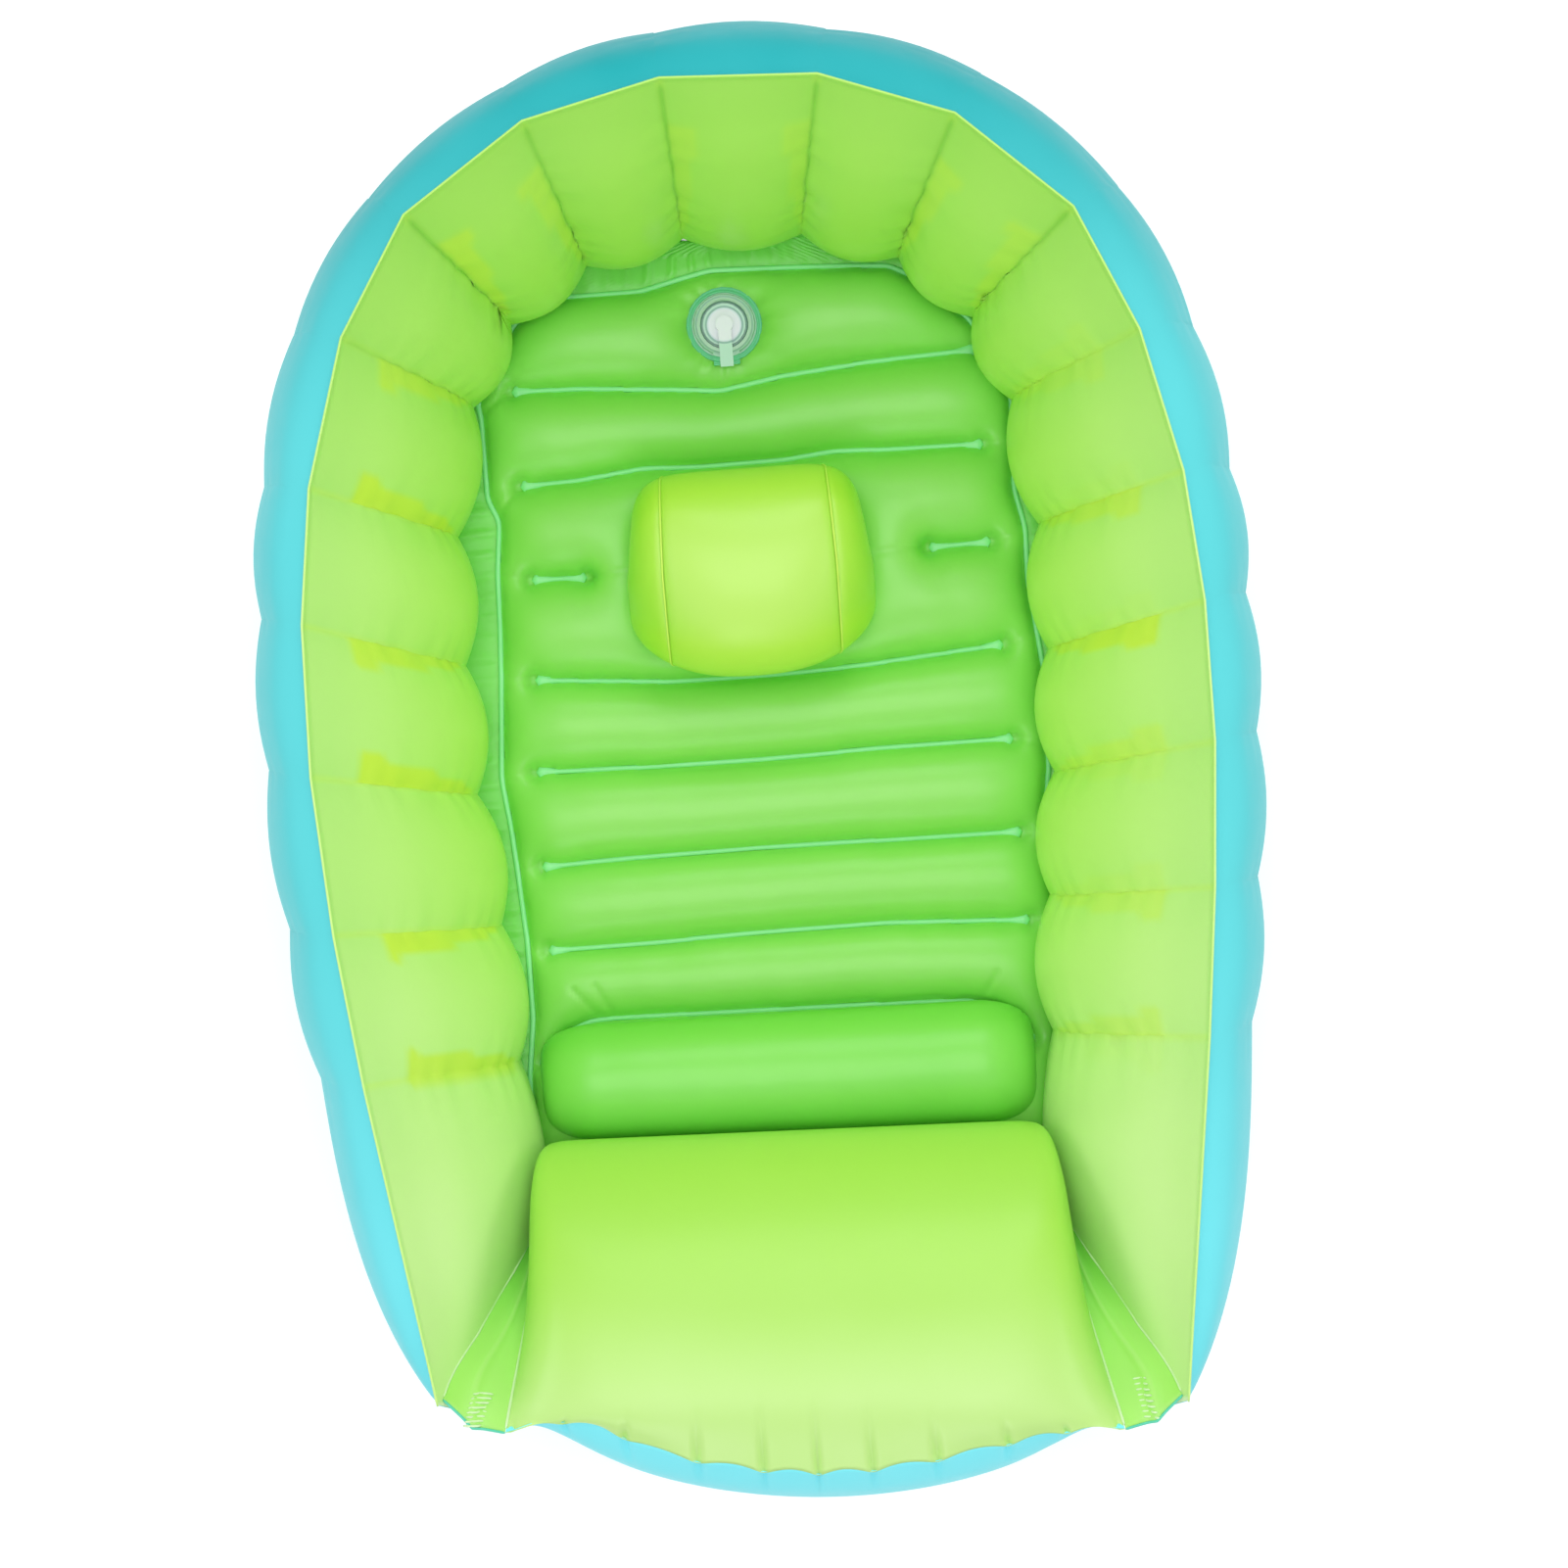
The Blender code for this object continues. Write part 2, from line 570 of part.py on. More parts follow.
def build_drain(home, cutters):
    top = FLOOR_WELD_HEIGHT + DRAIN_SEAT_RISE + WELD_GAP / 2 + SKIN + WELD_GAP
    bottom = FLOOR_WELD_HEIGHT - DRAIN_SEAT_DROP - WELD_GAP / 2 - SKIN - WELD_GAP
    bore, tube = DRAIN_BORE_RADIUS, DRAIN_BORE_RADIUS + DRAIN_WALL
    face = top + DRAIN_FLANGE_THICKNESS
    crown = top + DRAIN_RING_HEIGHT
    ring_in = PLUG_HEAD_RADIUS + DRAIN_RING_CLEARANCE
    flange = turned("drain_flange", [
        (bore, face), (ring_in, face), (ring_in + DRAIN_WALL / 2, crown),
        (DRAIN_RING_RADIUS - DRAIN_WALL / 2, crown), (DRAIN_RING_RADIUS, face),
        (DRAIN_FLANGE_RADIUS, face), (DRAIN_FLANGE_RADIUS, top), (bore, top),
    ], CLEAR, home)
    flange.location = (DRAIN_X, DRAIN_Y, 0)
    tab_end = DRAIN_Y - TAB_REACH + TAB_CLEARANCE
    tab_size = (TAB_WIDTH, DRAIN_Y - (DRAIN_RING_RADIUS + ring_in) / 2 - tab_end,
                DRAIN_RING_HEIGHT - 2 * WELD_GAP)
    tab = block("drain_tab", tab_size, (DRAIN_X, tab_end + tab_size[1] / 2, (top + crown) / 2), cutters)
    combine(flange, tab, "UNION")
    foot = bottom - DRAIN_FLANGE_THICKNESS
    pipe = turned("drain_tube", [
        (bore, top - WELD_GAP), (tube, top - WELD_GAP), (tube, bottom),
        (DRAIN_FOOT_RADIUS, bottom), (DRAIN_FOOT_RADIUS, foot), (bore, foot),
    ], CLEAR, home)
    pipe.location = (DRAIN_X, DRAIN_Y, 0)
    head_bottom = face + WELD_GAP
    head_top = head_bottom + PLUG_HEAD_THICKNESS
    strap_bottom = crown + WELD_GAP
    strap_top = strap_bottom + PLUG_STRAP_THICKNESS
    snug = bore - PLUG_CLEARANCE
    plug = turned("drain_plug", [
        (0, strap_top), (PLUG_KNOB_RADIUS, strap_top), (PLUG_KNOB_RADIUS, head_top),
        (PLUG_HEAD_RADIUS, head_top), (PLUG_HEAD_RADIUS, head_bottom), (snug, head_bottom),
        (snug - PLUG_TAPER, head_bottom - PLUG_LENGTH), (0, head_bottom - PLUG_LENGTH),
    ], CLEAR, home)
    plug.location = (DRAIN_X, DRAIN_Y, 0)
    strap = block("plug_strap", (PLUG_STRAP_WIDTH, TAB_REACH, PLUG_STRAP_THICKNESS),
                  (DRAIN_X, DRAIN_Y - TAB_REACH / 2, (strap_bottom + strap_top) / 2), cutters)
    combine(plug, strap, "UNION")


# Cushions


def saddle_band(shares):
    """A strip of the saddle's domed form between these shares of its half width."""
    base = FLOOR_WELD_HEIGHT + SADDLE_SEAT_RISE + WELD_GAP / 2 + SKIN + WELD_GAP
    middle_y = (RIB_YS[1] + RIB_YS[2]) / 2 - SADDLE_SETBACK
    half_length = (RIB_YS[1] - RIB_YS[2]) / 2 + SADDLE_OVERHANG
    low = math.sin(SADDLE_FOOT_ANGLE)
    power, root = SADDLE_ROUND_POWERS
    grid = []
    for a in shares:
        fullness = max(1 - abs(a) ** power, 0.0) ** (1 / root)
        length_share, height_share = (lerp(end, 1.0, fullness) for end in SADDLE_END_SHARES)
        row = []
        for k in range(SADDLE_TURNS + 1):
            angle = lerp(-SADDLE_FOOT_ANGLE, math.pi + SADDLE_FOOT_ANGLE, k / SADDLE_TURNS)
            up = (math.sin(angle) + low) / (1 + low)
            taper = 1 - SADDLE_TAPER_SHARE * max(0.0, math.cos(angle)) * abs(a)
            waist = 1 - (1 - SADDLE_WAIST_SHARE) * max(0.0, 1 - 2 * up) * fullness
            row.append((a * SADDLE_HALF_WIDTH * taper * waist,
                        middle_y + half_length * math.cos(angle) * length_share,
                        base + SADDLE_HEIGHT * up * height_share))
        grid.append(row)
    return np.array(grid)


def build_saddle(home):
    """Three panels of one cushion over one base, which it overhangs. Its ends close on the floor."""
    seam = SADDLE_SEAM_X / SADDLE_HALF_WIDTH
    clear = WELD_GAP / SADDLE_HALF_WIDTH / 2
    middle = saddle_band([-seam + clear, -seam / 2, 0, seam / 2, seam - clear])
    sheet("saddle_middle_panel", middle, LIME, home)
    for sign, side in ((-1, "left"), (1, "right")):
        shares = [sign * lerp(seam + clear, 1, share) for share in SADDLE_PANEL_SHARES]
        sheet(f"saddle_{side}_panel", saddle_band(shares), LIME, home, flip=sign < 0)


def build_bolster(home):
    """The seat bolster: a straight roll with round ends, which close on the floor sheet."""
    base = FLOOR_WELD_HEIGHT + WELD_GAP / 2 + SKIN + WELD_GAP
    front = RIB_YS[-1] - BOLSTER_FRONT_MARGIN
    rear = FLOOR_END_Y + BOLSTER_REAR_MARGIN
    straight = INNER_HALF_WIDTH - BOLSTER_SIDE_MARGIN - BOLSTER_CORNER
    stations = [(straight * share, 1.0) for share in BOLSTER_BODY_SHARES]
    for k in range(1, BOLSTER_END_TURNS + 1):
        turn = math.pi / 2 * k / BOLSTER_END_TURNS
        fullness = max(math.cos(turn), 0.0) ** BOLSTER_ROUND_POWER
        stations.append((straight + BOLSTER_CORNER * math.sin(turn), fullness))
    low = math.sin(BOLSTER_FOOT_ANGLE)
    grid = []
    for x, fullness in [(-x, full) for x, full in stations[:0:-1]] + stations:
        depth_share, height_share = (lerp(end, 1.0, fullness) for end in BOLSTER_END_SHARES)
        row = []
        for k in range(BOLSTER_TURNS + 1):
            angle = lerp(-BOLSTER_FOOT_ANGLE, math.pi + BOLSTER_FOOT_ANGLE, k / BOLSTER_TURNS)
            up = (math.sin(angle) + low) / (1 + low)
            y = (front + rear) / 2 + (front - rear) / 2 * math.cos(angle) * depth_share
            row.append((x, y, base + BOLSTER_HEIGHT * up * height_share))
        grid.append(row)
    sheet("seat_bolster_skin", np.array(grid), GREEN, home)


# Backrest


BACK_FRONT_Y = FLOOR_END_Y - BACK_EDGE_GAP
BACK_CORNER_Y = -END_REACH - BACK_SEAM_SETBACK
BACK_SEAM_HEIGHT = END_HEIGHT - BACK_SEAM_DROP
BACK_TOP_Y = BACK_CORNER_Y - BACK_SEAM_BOW
BACK_REACH = BACK_FRONT_Y - BACK_TOP_Y


def side_seam(b, sign):
    """Seam between the backrest's two skins at its side, from the front (b=0) to the top (b=1)."""
    half_width = lerp(INNER_HALF_WIDTH - BACK_SIDE_MARGIN, END_HALF_WIDTH - BACK_TOP_MARGIN, b)
    return np.array([
        sign * half_width,
        lerp(BACK_FRONT_Y, BACK_CORNER_Y, b),
        lerp(FLOOR_WELD_HEIGHT, BACK_SEAM_HEIGHT, b),
    ])


def back_profile(upper):
    """(y, z) points along the backrest's middle, from its front seam to its top seam."""
    start, end = (BACK_FRONT_Y, FLOOR_WELD_HEIGHT), (BACK_TOP_Y, BACK_SEAM_HEIGHT)
    if upper:
        crest = BACK_SEAM_HEIGHT + BACK_CREST_RISE
        between = [(BACK_FRONT_Y + over * BACK_FRONT_OVERHANG - behind * BACK_REACH, high * crest)
                   for over, behind, high in BACK_FRONT_SHARES]
    else:
        foot = SKIN + WELD_GAP / 2
        between = [(BACK_FRONT_Y - reach * BACK_REACH - bulge * BACK_REAR_BULGE,
                    max(high * BACK_SEAM_HEIGHT, foot)) for reach, bulge, high in BACK_REAR_SHARES]
    return [start, *between, end]


def back_column(a, upper, profile):
    """One column of a backrest skin, at share a of its half width."""
    last = len(profile) - 1
    side = 1 if upper else -1
    powers, cheeks = [BACK_REAR_POWER] * last, [0.0] * last
    if upper:
        powers[1:], cheeks[1:] = BACK_FRONT_POWERS, BACK_CHEEK_SHARES
    column = []
    for j, (y, z) in enumerate(profile):
        x, seam_y, seam_z = side_seam(j / last, 1)
        fullness = math.sqrt(max(0.0, 1 - abs(a) ** powers[min(j, last - 1)]))
        if j == last:
            pucker = PUCKER_DEPTH * abs(math.sin(BACK_PUCKERS * math.pi * (a + 1) / 2)) * fullness
            place = (a * x, lerp(seam_y, y, (1 - a * a) ** 2) + pucker, seam_z)
        else:
            cheek = BACK_CHEEK * cheeks[j] * fullness * a * a
            place = (a * x + math.copysign(cheek, a), lerp(seam_y, y, fullness), lerp(seam_z, z, fullness))
        bow = BACK_REAR_BOW * a * a * fullness if y < BACK_TOP_Y and j < last else 0.0
        nearness = math.exp(-((a - BACK_DIP_SHARE) / BACK_DIP_WIDTH_SHARE) ** 2)
        bow += BACK_SEAM_DIP * nearness * (1 - abs(a) ** BACK_REAR_POWER) * (j / last) ** BACK_DIP_POWER
        column.append(np.array(place) + (0, bow, side * WELD_GAP / 2))
    return column


def back_grid(upper):
    """One backrest skin. Its columns are closer together towards the sides."""
    profile = back_profile(upper)
    shares = [math.sin(math.pi / 2 * (2 * k / BACK_COLUMNS - 1)) for k in range(BACK_COLUMNS + 1)]
    return np.array([back_column(a, upper, profile) for a in shares])


def build_backrest(home):
    sheet("backrest_upper_skin", back_grid(True), LIME, home)
    return sheet("backrest_outer_skin", back_grid(False), BLUE, home, flip=True)


# Gussets


def build_gussets(home):
    """Sheets between the wall's end lobes and the backrest's side seams, widest at the top."""
    for sign, side in ((-1, "left"), (1, "right")):
        grid = []
        for k in range(GUSSET_STEPS + 1):
            seam = side_seam(lerp(GUSSET_START_SHARE, 1.0, k / GUSSET_STEPS), sign)
            t = (seam[1] - RIM[LAST][1]) / (RIGHT_SEAM[0][1] - RIM[LAST][1])
            outer = wall_place(t, seam[2], sign)
            out = np.array([outer[0] - sign * GUSSET_CLEARANCE, outer[1], seam[2]])
            inn = seam + np.array([sign * GUSSET_CLEARANCE, 0, 0])
            high = k / GUSSET_STEPS
            flap = GUSSET_FLAP * high**GUSSET_FLAP_POWER
            middle = (out + inn) / 2 - np.array([0, flap, GUSSET_CHANNEL * high])
            grid.append([inn, (inn + middle) / 2, middle, (middle + out) / 2, out])
        sheet(f"corner_gusset_{side}", np.array(grid), GREEN, home, flip=sign > 0)


def wall_place(t, height, sign):
    """Point of the rear lobe's inner skin at this place along it and this height."""
    points = np.array([end_lobe_row(-1, row, t, sign) for row in section_rows(-1)])
    order = np.argsort(points[:, 2])
    return np.array([np.interp(height, points[order, 2], points[order, k]) for k in range(3)])


# Air valves


def build_valve(name, place, outward, up, skin, home, cutters):
    """Push-in air valve: flange in the skin, sliding stem, hinged cap, and flap inside the stem."""
    outward = Vector(outward).normalized()
    side = Vector(up).cross(outward).normalized()
    turn = Matrix((side, outward.cross(side), outward)).transposed().to_4x4()
    frame = Matrix.Translation(place) @ turn
    bore = VALVE_STEM_RADIUS + SLIDE_CLEARANCE
    half = VALVE_FLANGE_THICKNESS / 2
    sleeve = bore + VALVE_STEM_WALL
    flange = turned(f"{name}_flange", [
        (bore, half), (VALVE_FLANGE_RADIUS, half), (VALVE_FLANGE_RADIUS, -half),
        (sleeve, -half), (sleeve, -VALVE_STEM_WALL - half), (bore, -VALVE_STEM_WALL - half),
    ], CLEAR, home)
    stem_bore = VALVE_STEM_RADIUS - VALVE_STEM_WALL
    stem = turned(f"{name}_stem", [
        (stem_bore, VALVE_STEM_OUT), (VALVE_LIP_RADIUS, VALVE_STEM_OUT),
        (VALVE_LIP_RADIUS, VALVE_STEM_OUT - VALVE_LIP_THICKNESS),
        (VALVE_STEM_RADIUS, VALVE_STEM_OUT - VALVE_LIP_THICKNESS),
        (VALVE_STEM_RADIUS, -VALVE_STEM_IN), (stem_bore, -VALVE_STEM_IN),
    ], CLEAR, home)
    seat = VALVE_STEM_OUT + WELD_GAP
    plug_radius = stem_bore - SLIDE_CLEARANCE
    cap = turned(f"{name}_cap", [
        (0, seat + CAP_THICKNESS), (CAP_RADIUS, seat + CAP_THICKNESS), (CAP_RADIUS, seat),
        (plug_radius, seat), (plug_radius - CAP_PLUG_TAPER, seat - CAP_PLUG_LENGTH),
        (0, seat - CAP_PLUG_LENGTH),
    ], CLEAR, home)
    hinge_y = CAP_RADIUS + CAP_TETHER_WIDTH / 2
    ear_depth = VALVE_LIP_THICKNESS + CAP_TETHER_WIDTH / 2
    ear = block(f"{name}_ear", (CAP_TETHER_WIDTH, ear_depth, VALVE_LIP_THICKNESS),
                (0, hinge_y - CAP_EAR_CLEARANCE - ear_depth / 2,
                 VALVE_STEM_OUT - VALVE_LIP_THICKNESS / 2), cutters)
    tether = block(f"{name}_tether", (CAP_TETHER_WIDTH, CAP_TETHER_WIDTH, CAP_TETHER_THICKNESS),
                   (0, CAP_RADIUS, seat + CAP_TETHER_THICKNESS / 2), cutters)
    flap_seat = -VALVE_STEM_IN - WELD_GAP
    flap = turned(f"{name}_flap", [
        (0, flap_seat), (VALVE_STEM_RADIUS, flap_seat),
        (VALVE_STEM_RADIUS, flap_seat - FLAP_THICKNESS), (0, flap_seat - FLAP_THICKNESS),
    ], CLEAR, home)
    hole = round_cutter(f"{name}_hole", VALVE_FLANGE_RADIUS + WELD_GAP, -VALVE_STEM_OUT,
                        VALVE_STEM_OUT, cutters)
    for piece in (flange, stem, ear, cap, tether, flap, hole):
        piece.matrix_world = frame
    combine(stem, ear, "UNION")
    combine(cap, tether, "UNION")
    combine(skin, hole, "DIFFERENCE")


def at_height(points, height):
    """Place along a line of points, listed in any order, where it has this height."""
    points = np.array(sorted(points, key=lambda point: point[2]))
    return [float(np.interp(height, points[:, 2], points[:, k])) for k in (0, 1)] + [height]


def build_valves(wall_skin, back_skin, home, cutters):
    """One valve outside the wall's left rear lobe, and one in the backrest's back."""
    height = WALL_VALVE_HEIGHT_SHARE * HEIGHT[LAST]
    line = [end_lobe_row(1, row, WALL_VALVE_SHARE, -1) for row in OUTER_ROW_SHARES[:WALL_VALVE_ROWS]]
    place = askew(at_height(line, height))
    build_valve("wall_valve", place, (-1, 0, 0), (0, 0, 1), wall_skin, home, cutters)
    upright = back_grid(False)[:, -BACK_VALVE_ROWS:].transpose(1, 0, 2)
    x = BACK_VALVE_SHARE * (END_HALF_WIDTH - BACK_TOP_MARGIN)
    line = [[np.interp(x, row[:, 0], row[:, k]) for k in range(3)] for row in upright]
    place = askew(at_height(line, BACK_VALVE_HEIGHT_SHARE * BACK_SEAM_HEIGHT))
    build_valve("backrest_valve", place, (0, -1, 0), (0, 0, 1), back_skin, home, cutters)


clear_scene()
tub = collection("baby_bathtub")
cutters = collection("cutters")
wall_skin = build_wall(tub)
build_floor(tub, cutters)
build_drain(tub, cutters)
build_saddle(tub)
build_bolster(tub)
back_skin = build_backrest(tub)
build_gussets(tub)
build_valves(wall_skin, back_skin, tub, cutters)
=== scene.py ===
"""The look of the inflatable baby bathtub: films, welds, folds, mouldings, light and camera."""

import math

import bmesh
import bpy
import numpy as np
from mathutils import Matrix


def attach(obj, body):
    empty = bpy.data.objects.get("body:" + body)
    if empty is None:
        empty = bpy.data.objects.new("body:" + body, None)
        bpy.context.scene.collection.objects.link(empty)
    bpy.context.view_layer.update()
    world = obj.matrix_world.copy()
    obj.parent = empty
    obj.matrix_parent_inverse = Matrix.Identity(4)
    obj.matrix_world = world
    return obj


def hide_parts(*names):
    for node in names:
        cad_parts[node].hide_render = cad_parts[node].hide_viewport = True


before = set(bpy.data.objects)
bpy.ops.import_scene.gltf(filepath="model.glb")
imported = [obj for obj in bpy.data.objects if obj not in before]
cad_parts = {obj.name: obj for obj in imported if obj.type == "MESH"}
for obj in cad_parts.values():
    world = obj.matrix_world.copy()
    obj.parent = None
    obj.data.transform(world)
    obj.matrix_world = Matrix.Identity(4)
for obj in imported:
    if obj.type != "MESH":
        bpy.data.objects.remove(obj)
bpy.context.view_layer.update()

# The camera hangs straight above the tub and is turned a little, as the tub lies askew in the view.
# A long lens keeps the far rim and the near floor at almost the same scale.
CAMERA_PLACE = (0.0117, -0.0110, 2.6)
CAMERA_TURN = math.radians(-4.4)
LENS_MM = 86.2



def add_object(name, data):
    """A new object with this data, linked to the scene."""
    made = bpy.data.objects.new(name, data)
    bpy.context.scene.collection.objects.link(made)
    return made


camera_data = bpy.data.cameras.new("camera")
camera_data.lens = LENS_MM
camera_data.sensor_width = 36.0
camera_data.clip_end = 20.0
camera = add_object("camera", camera_data)
camera.location = CAMERA_PLACE
camera.rotation_euler = (0.0, 0.0, CAMERA_TURN)
bpy.context.scene.camera = camera
bpy.context.scene.view_settings.view_transform = "Standard"

# The studio: one large soft lamp overhead, a long one from the foot end and a weak one from each
# side, over a white floor. The floor gives back the tub's own soft shadow.
FLOOR_SIZE = 12.0
FLOOR_DROP = 0.0006
FLOOR_ALBEDO = 0.60
FLOOR_GLOW = 0.55
ROOM_GLOW = 0.64
WHITE = (1, 1, 1, 1)
# Name, place, target, size and power
LAMPS = [
    ("lamp_over", (0.0, 0.1, 2.9), (0, 0, 0.1), 2.2, 24.0),
    ("lamp_foot", (0.4, 2.3, 1.9), (0, 0, 0.1), 1.6, 15.0),
    ("lamp_left", (-2.4, 0.1, 1.5), (0, 0, 0.1), 1.4, 9.0),
    ("lamp_right", (2.4, -0.2, 1.5), (0, 0, 0.1), 1.4, 9.0),
    ("lamp_rear", (-0.3, -2.5, 1.6), (0, 0, 0.1), 1.4, 9.0),
]


def material(name):
    """A new node material whose tree is still empty. Returns the material and its tree."""
    made = bpy.data.materials.new(name)
    made.use_nodes = True
    made.node_tree.nodes.clear()
    return made, made.node_tree


def add_node(tree, kind, inputs=(), **settings):
    """A new shader node. Each input is given a value, or the socket or node that feeds it."""
    made = tree.nodes.new("ShaderNode" + kind)
    for name, value in settings.items():
        setattr(made, name, value)
    for key, value in dict(inputs).items():
        if isinstance(value, bpy.types.Node):
            value = value.outputs[0]
        if isinstance(value, bpy.types.NodeSocket):
            tree.links.new(value, made.inputs[key])
        else:
            made.inputs[key].default_value = value
    return made


for lamp_name, place, target, size, power in LAMPS:
    lamp_data = bpy.data.lights.new(lamp_name, "AREA")
    lamp_data.shape = "DISK"
    lamp_data.size = size
    lamp_data.energy = power
    lamp = add_object(lamp_name, lamp_data)
    lamp.location = place
    aim = np.array(target) - np.array(place)
    lamp.rotation_euler = (math.atan2(math.hypot(aim[0], aim[1]), -aim[2]), 0.0,
                           math.atan2(aim[1], aim[0]) - math.pi / 2)

floor_mesh = bpy.data.meshes.new("studio_floor")
half = FLOOR_SIZE / 2
floor_mesh.from_pydata([(-half, -half, -FLOOR_DROP), (half, -half, -FLOOR_DROP),
                        (half, half, -FLOOR_DROP), (-half, half, -FLOOR_DROP)], [], [(0, 1, 2, 3)])
studio_floor = add_object("studio_floor", floor_mesh)
floor_look, tree = material("studio_floor")
rays = add_node(tree, "LightPath").outputs
seen = add_node(tree, "Math", {0: rays["Is Camera Ray"], 1: rays["Is Glossy Ray"]},
                operation="MAXIMUM")
seen_through = add_node(tree, "Math", {0: seen, 1: rays["Is Transmission Ray"]},
                        operation="MAXIMUM")
strength = add_node(tree, "Math", {0: seen_through, 1: FLOOR_GLOW}, operation="MULTIPLY")
glow = add_node(tree, "Emission", {"Color": WHITE, "Strength": strength})
paint = add_node(tree, "BsdfDiffuse", {"Color": (FLOOR_ALBEDO, FLOOR_ALBEDO, FLOOR_ALBEDO, 1)})
both = add_node(tree, "AddShader", {0: paint, 1: glow})
add_node(tree, "OutputMaterial", {"Surface": both})
floor_mesh.materials.append(floor_look)

room = bpy.context.scene.world or bpy.data.worlds.new("room")
bpy.context.scene.world = room
room.use_nodes = True
room.node_tree.nodes.clear()
room_rays = add_node(room.node_tree, "LightPath")
room_mix = add_node(room.node_tree, "MapRange", {
    "Value": room_rays.outputs["Is Camera Ray"], "To Min": ROOM_GLOW, "To Max": 1.0})
room_glow = add_node(room.node_tree, "Background", {"Color": WHITE, "Strength": room_mix})
add_node(room.node_tree, "OutputWorld", {"Surface": room_glow})

# Inner wall: one yellow-green film, welded to the blue film along the rim and along the floor.
# Nineteen air lobes bulge between the baffles, which pull the film back into creases. The film is
# gathered a little along each crease, and the baffles' weld strips show as deeper yellow patches.
FILM = 0.0004
WELD_GAP = 0.0003
RIM_HALF_WIDTH = 0.280
HEAD_REACH = 0.428
END_CORNER = (0.2376, -0.4045)
RIM_HEIGHT = 0.275
RIM_FIN = 0.005
RIM_CORNERS = [(0.175, 1.000), (0.479, 0.942), (0.743, 0.808), (0.880, 0.629), (0.964, 0.418),
               (0.996, 0.225), (1.000, 0.012), (0.979, -0.210), (0.946, -0.432)]
RIM_HEIGHTS = [1.0, 1.0, 0.995, 0.985, 0.975, 0.965, 0.955, 0.935, 0.90]
END_HEIGHT_SHARE = 0.78
CREASE_CORNERS = [(0.205, 1.000), (0.540, 0.955), (0.803, 0.844), (0.929, 0.685), (1.000, 0.446),
                  (1.000, 0.210), (0.995, -0.025), (0.947, -0.262), (0.924, -0.515)]
CREASE_HALF_WIDTH = 0.198
CREASE_REACH = 0.364
LOBE_CREEP = 0.017
CREEP_SHARES = [1.0, 1.0, 1.0, 1.0, 0.9, 0.8, 0.6, 0.35, 0.0]
CREEP_ROUND_SHARE = 0.15
REAR_SKEW = 0.0168
SKEW_START = 0.100
SIDE_SWELL = 0.042
LEFT_SWELLS = [1.24, 1.13, 1.07, 1.13, 1.07, 1.0, 1.0, 1.0, 0.96]
RIGHT_SWELLS = [1.24, 1.24, 1.18, 1.17, 1.05, 0.98, 0.98, 0.98, 0.96]
INNER_BULGE = 0.013
END_SEAM_SHIFT = (-0.022, -0.024)
END_LEAN = ((0.0, 0.70, 1.0), (1.0, 0.55, 0.0))
END_BELLY = 1.33
END_CHEEK = 0.20
FLOOR_WELD_HEIGHT = 0.024
# Swell share, depth share, height share, bulge share, height share at the end seam
INNER_ROWS = np.array([
    (0, 0.00, 1.00, 0.00, 1.00), (0, 0.20, 0.86, 0.35, 0.88), (0, 0.52, 0.68, 0.75, 0.70),
    (0, 0.83, 0.47, 1.00, 0.50), (0, 1.00, 0.29, 1.00, 0.30), (0, 1.00, 0.15, 0.70, 0.12),
    (0, 0.93, 0.00, 0.00, 0.00),
])
LOBE_COLUMNS = 18
END_COLUMNS = 40
END_SPACING = 0.8
END_LENGTH = 0.171
SECTION_STEPS = 9


def ramp(value):
    """The value, held between 0 and 1."""
    return np.clip(value, 0, 1)


def unit(vectors):
    """The vectors, made unit length."""
    return vectors / np.maximum(np.linalg.norm(vectors, axis=-1, keepdims=True), 1e-9)


def askew(points):
    """Moves points behind the skew's start forward on the left and back on the right: y falls by
    skew * back * side, where back and side are linear in y and x, up to 1 at the end corners."""
    points = np.array(points, float)
    back = ramp((-points[..., 1] - SKEW_START) / (-END_CORNER[1] - SKEW_START))
    side = np.clip(points[..., 0] / END_CORNER[0], -1, 1)
    points[..., 1] -= REAR_SKEW * back * side
    return points


def round_the_ring(values):
    """Values of one side, from head to rear, run round the whole wall from the left rear."""
    values = np.array(values, float)
    return np.concatenate([values[::-1], values])


def ring_corners(corners, width, reach, creep):
    """Corner i moves towards corner i + 1 by creep, and outward by 0.15 s (1 - s) of that edge,
    where s is the share of the edge that it moved."""
    ring = round_the_ring(corners) * (width, reach)
    ring[:len(corners), 0] *= -1
    ahead = np.concatenate([ring[1:], [END_CORNER]]) - ring
    share = round_the_ring(CREEP_SHARES)[:, None] * creep / np.linalg.norm(ahead, axis=1,
                                                                          keepdims=True)
    outward = np.stack([-ahead[:, 1], ahead[:, 0]], axis=1)
    return ring + ahead * share + outward * CREEP_ROUND_SHARE * share * (1 - share)


RIM = ring_corners(RIM_CORNERS, RIM_HALF_WIDTH, HEAD_REACH, LOBE_CREEP)
CREASE = ring_corners(CREASE_CORNERS, CREASE_HALF_WIDTH, CREASE_REACH,
                      LOBE_CREEP * CREASE_HALF_WIDTH / RIM_HALF_WIDTH)
HEIGHT = round_the_ring(RIM_HEIGHTS) * RIM_HEIGHT
SWELL = np.array([*LEFT_SWELLS[::-1], *RIGHT_SWELLS]) * SIDE_SWELL
DEPTH = np.linalg.norm(RIM - CREASE, axis=1)
OUTWARD = (RIM - CREASE) / DEPTH[:, None]


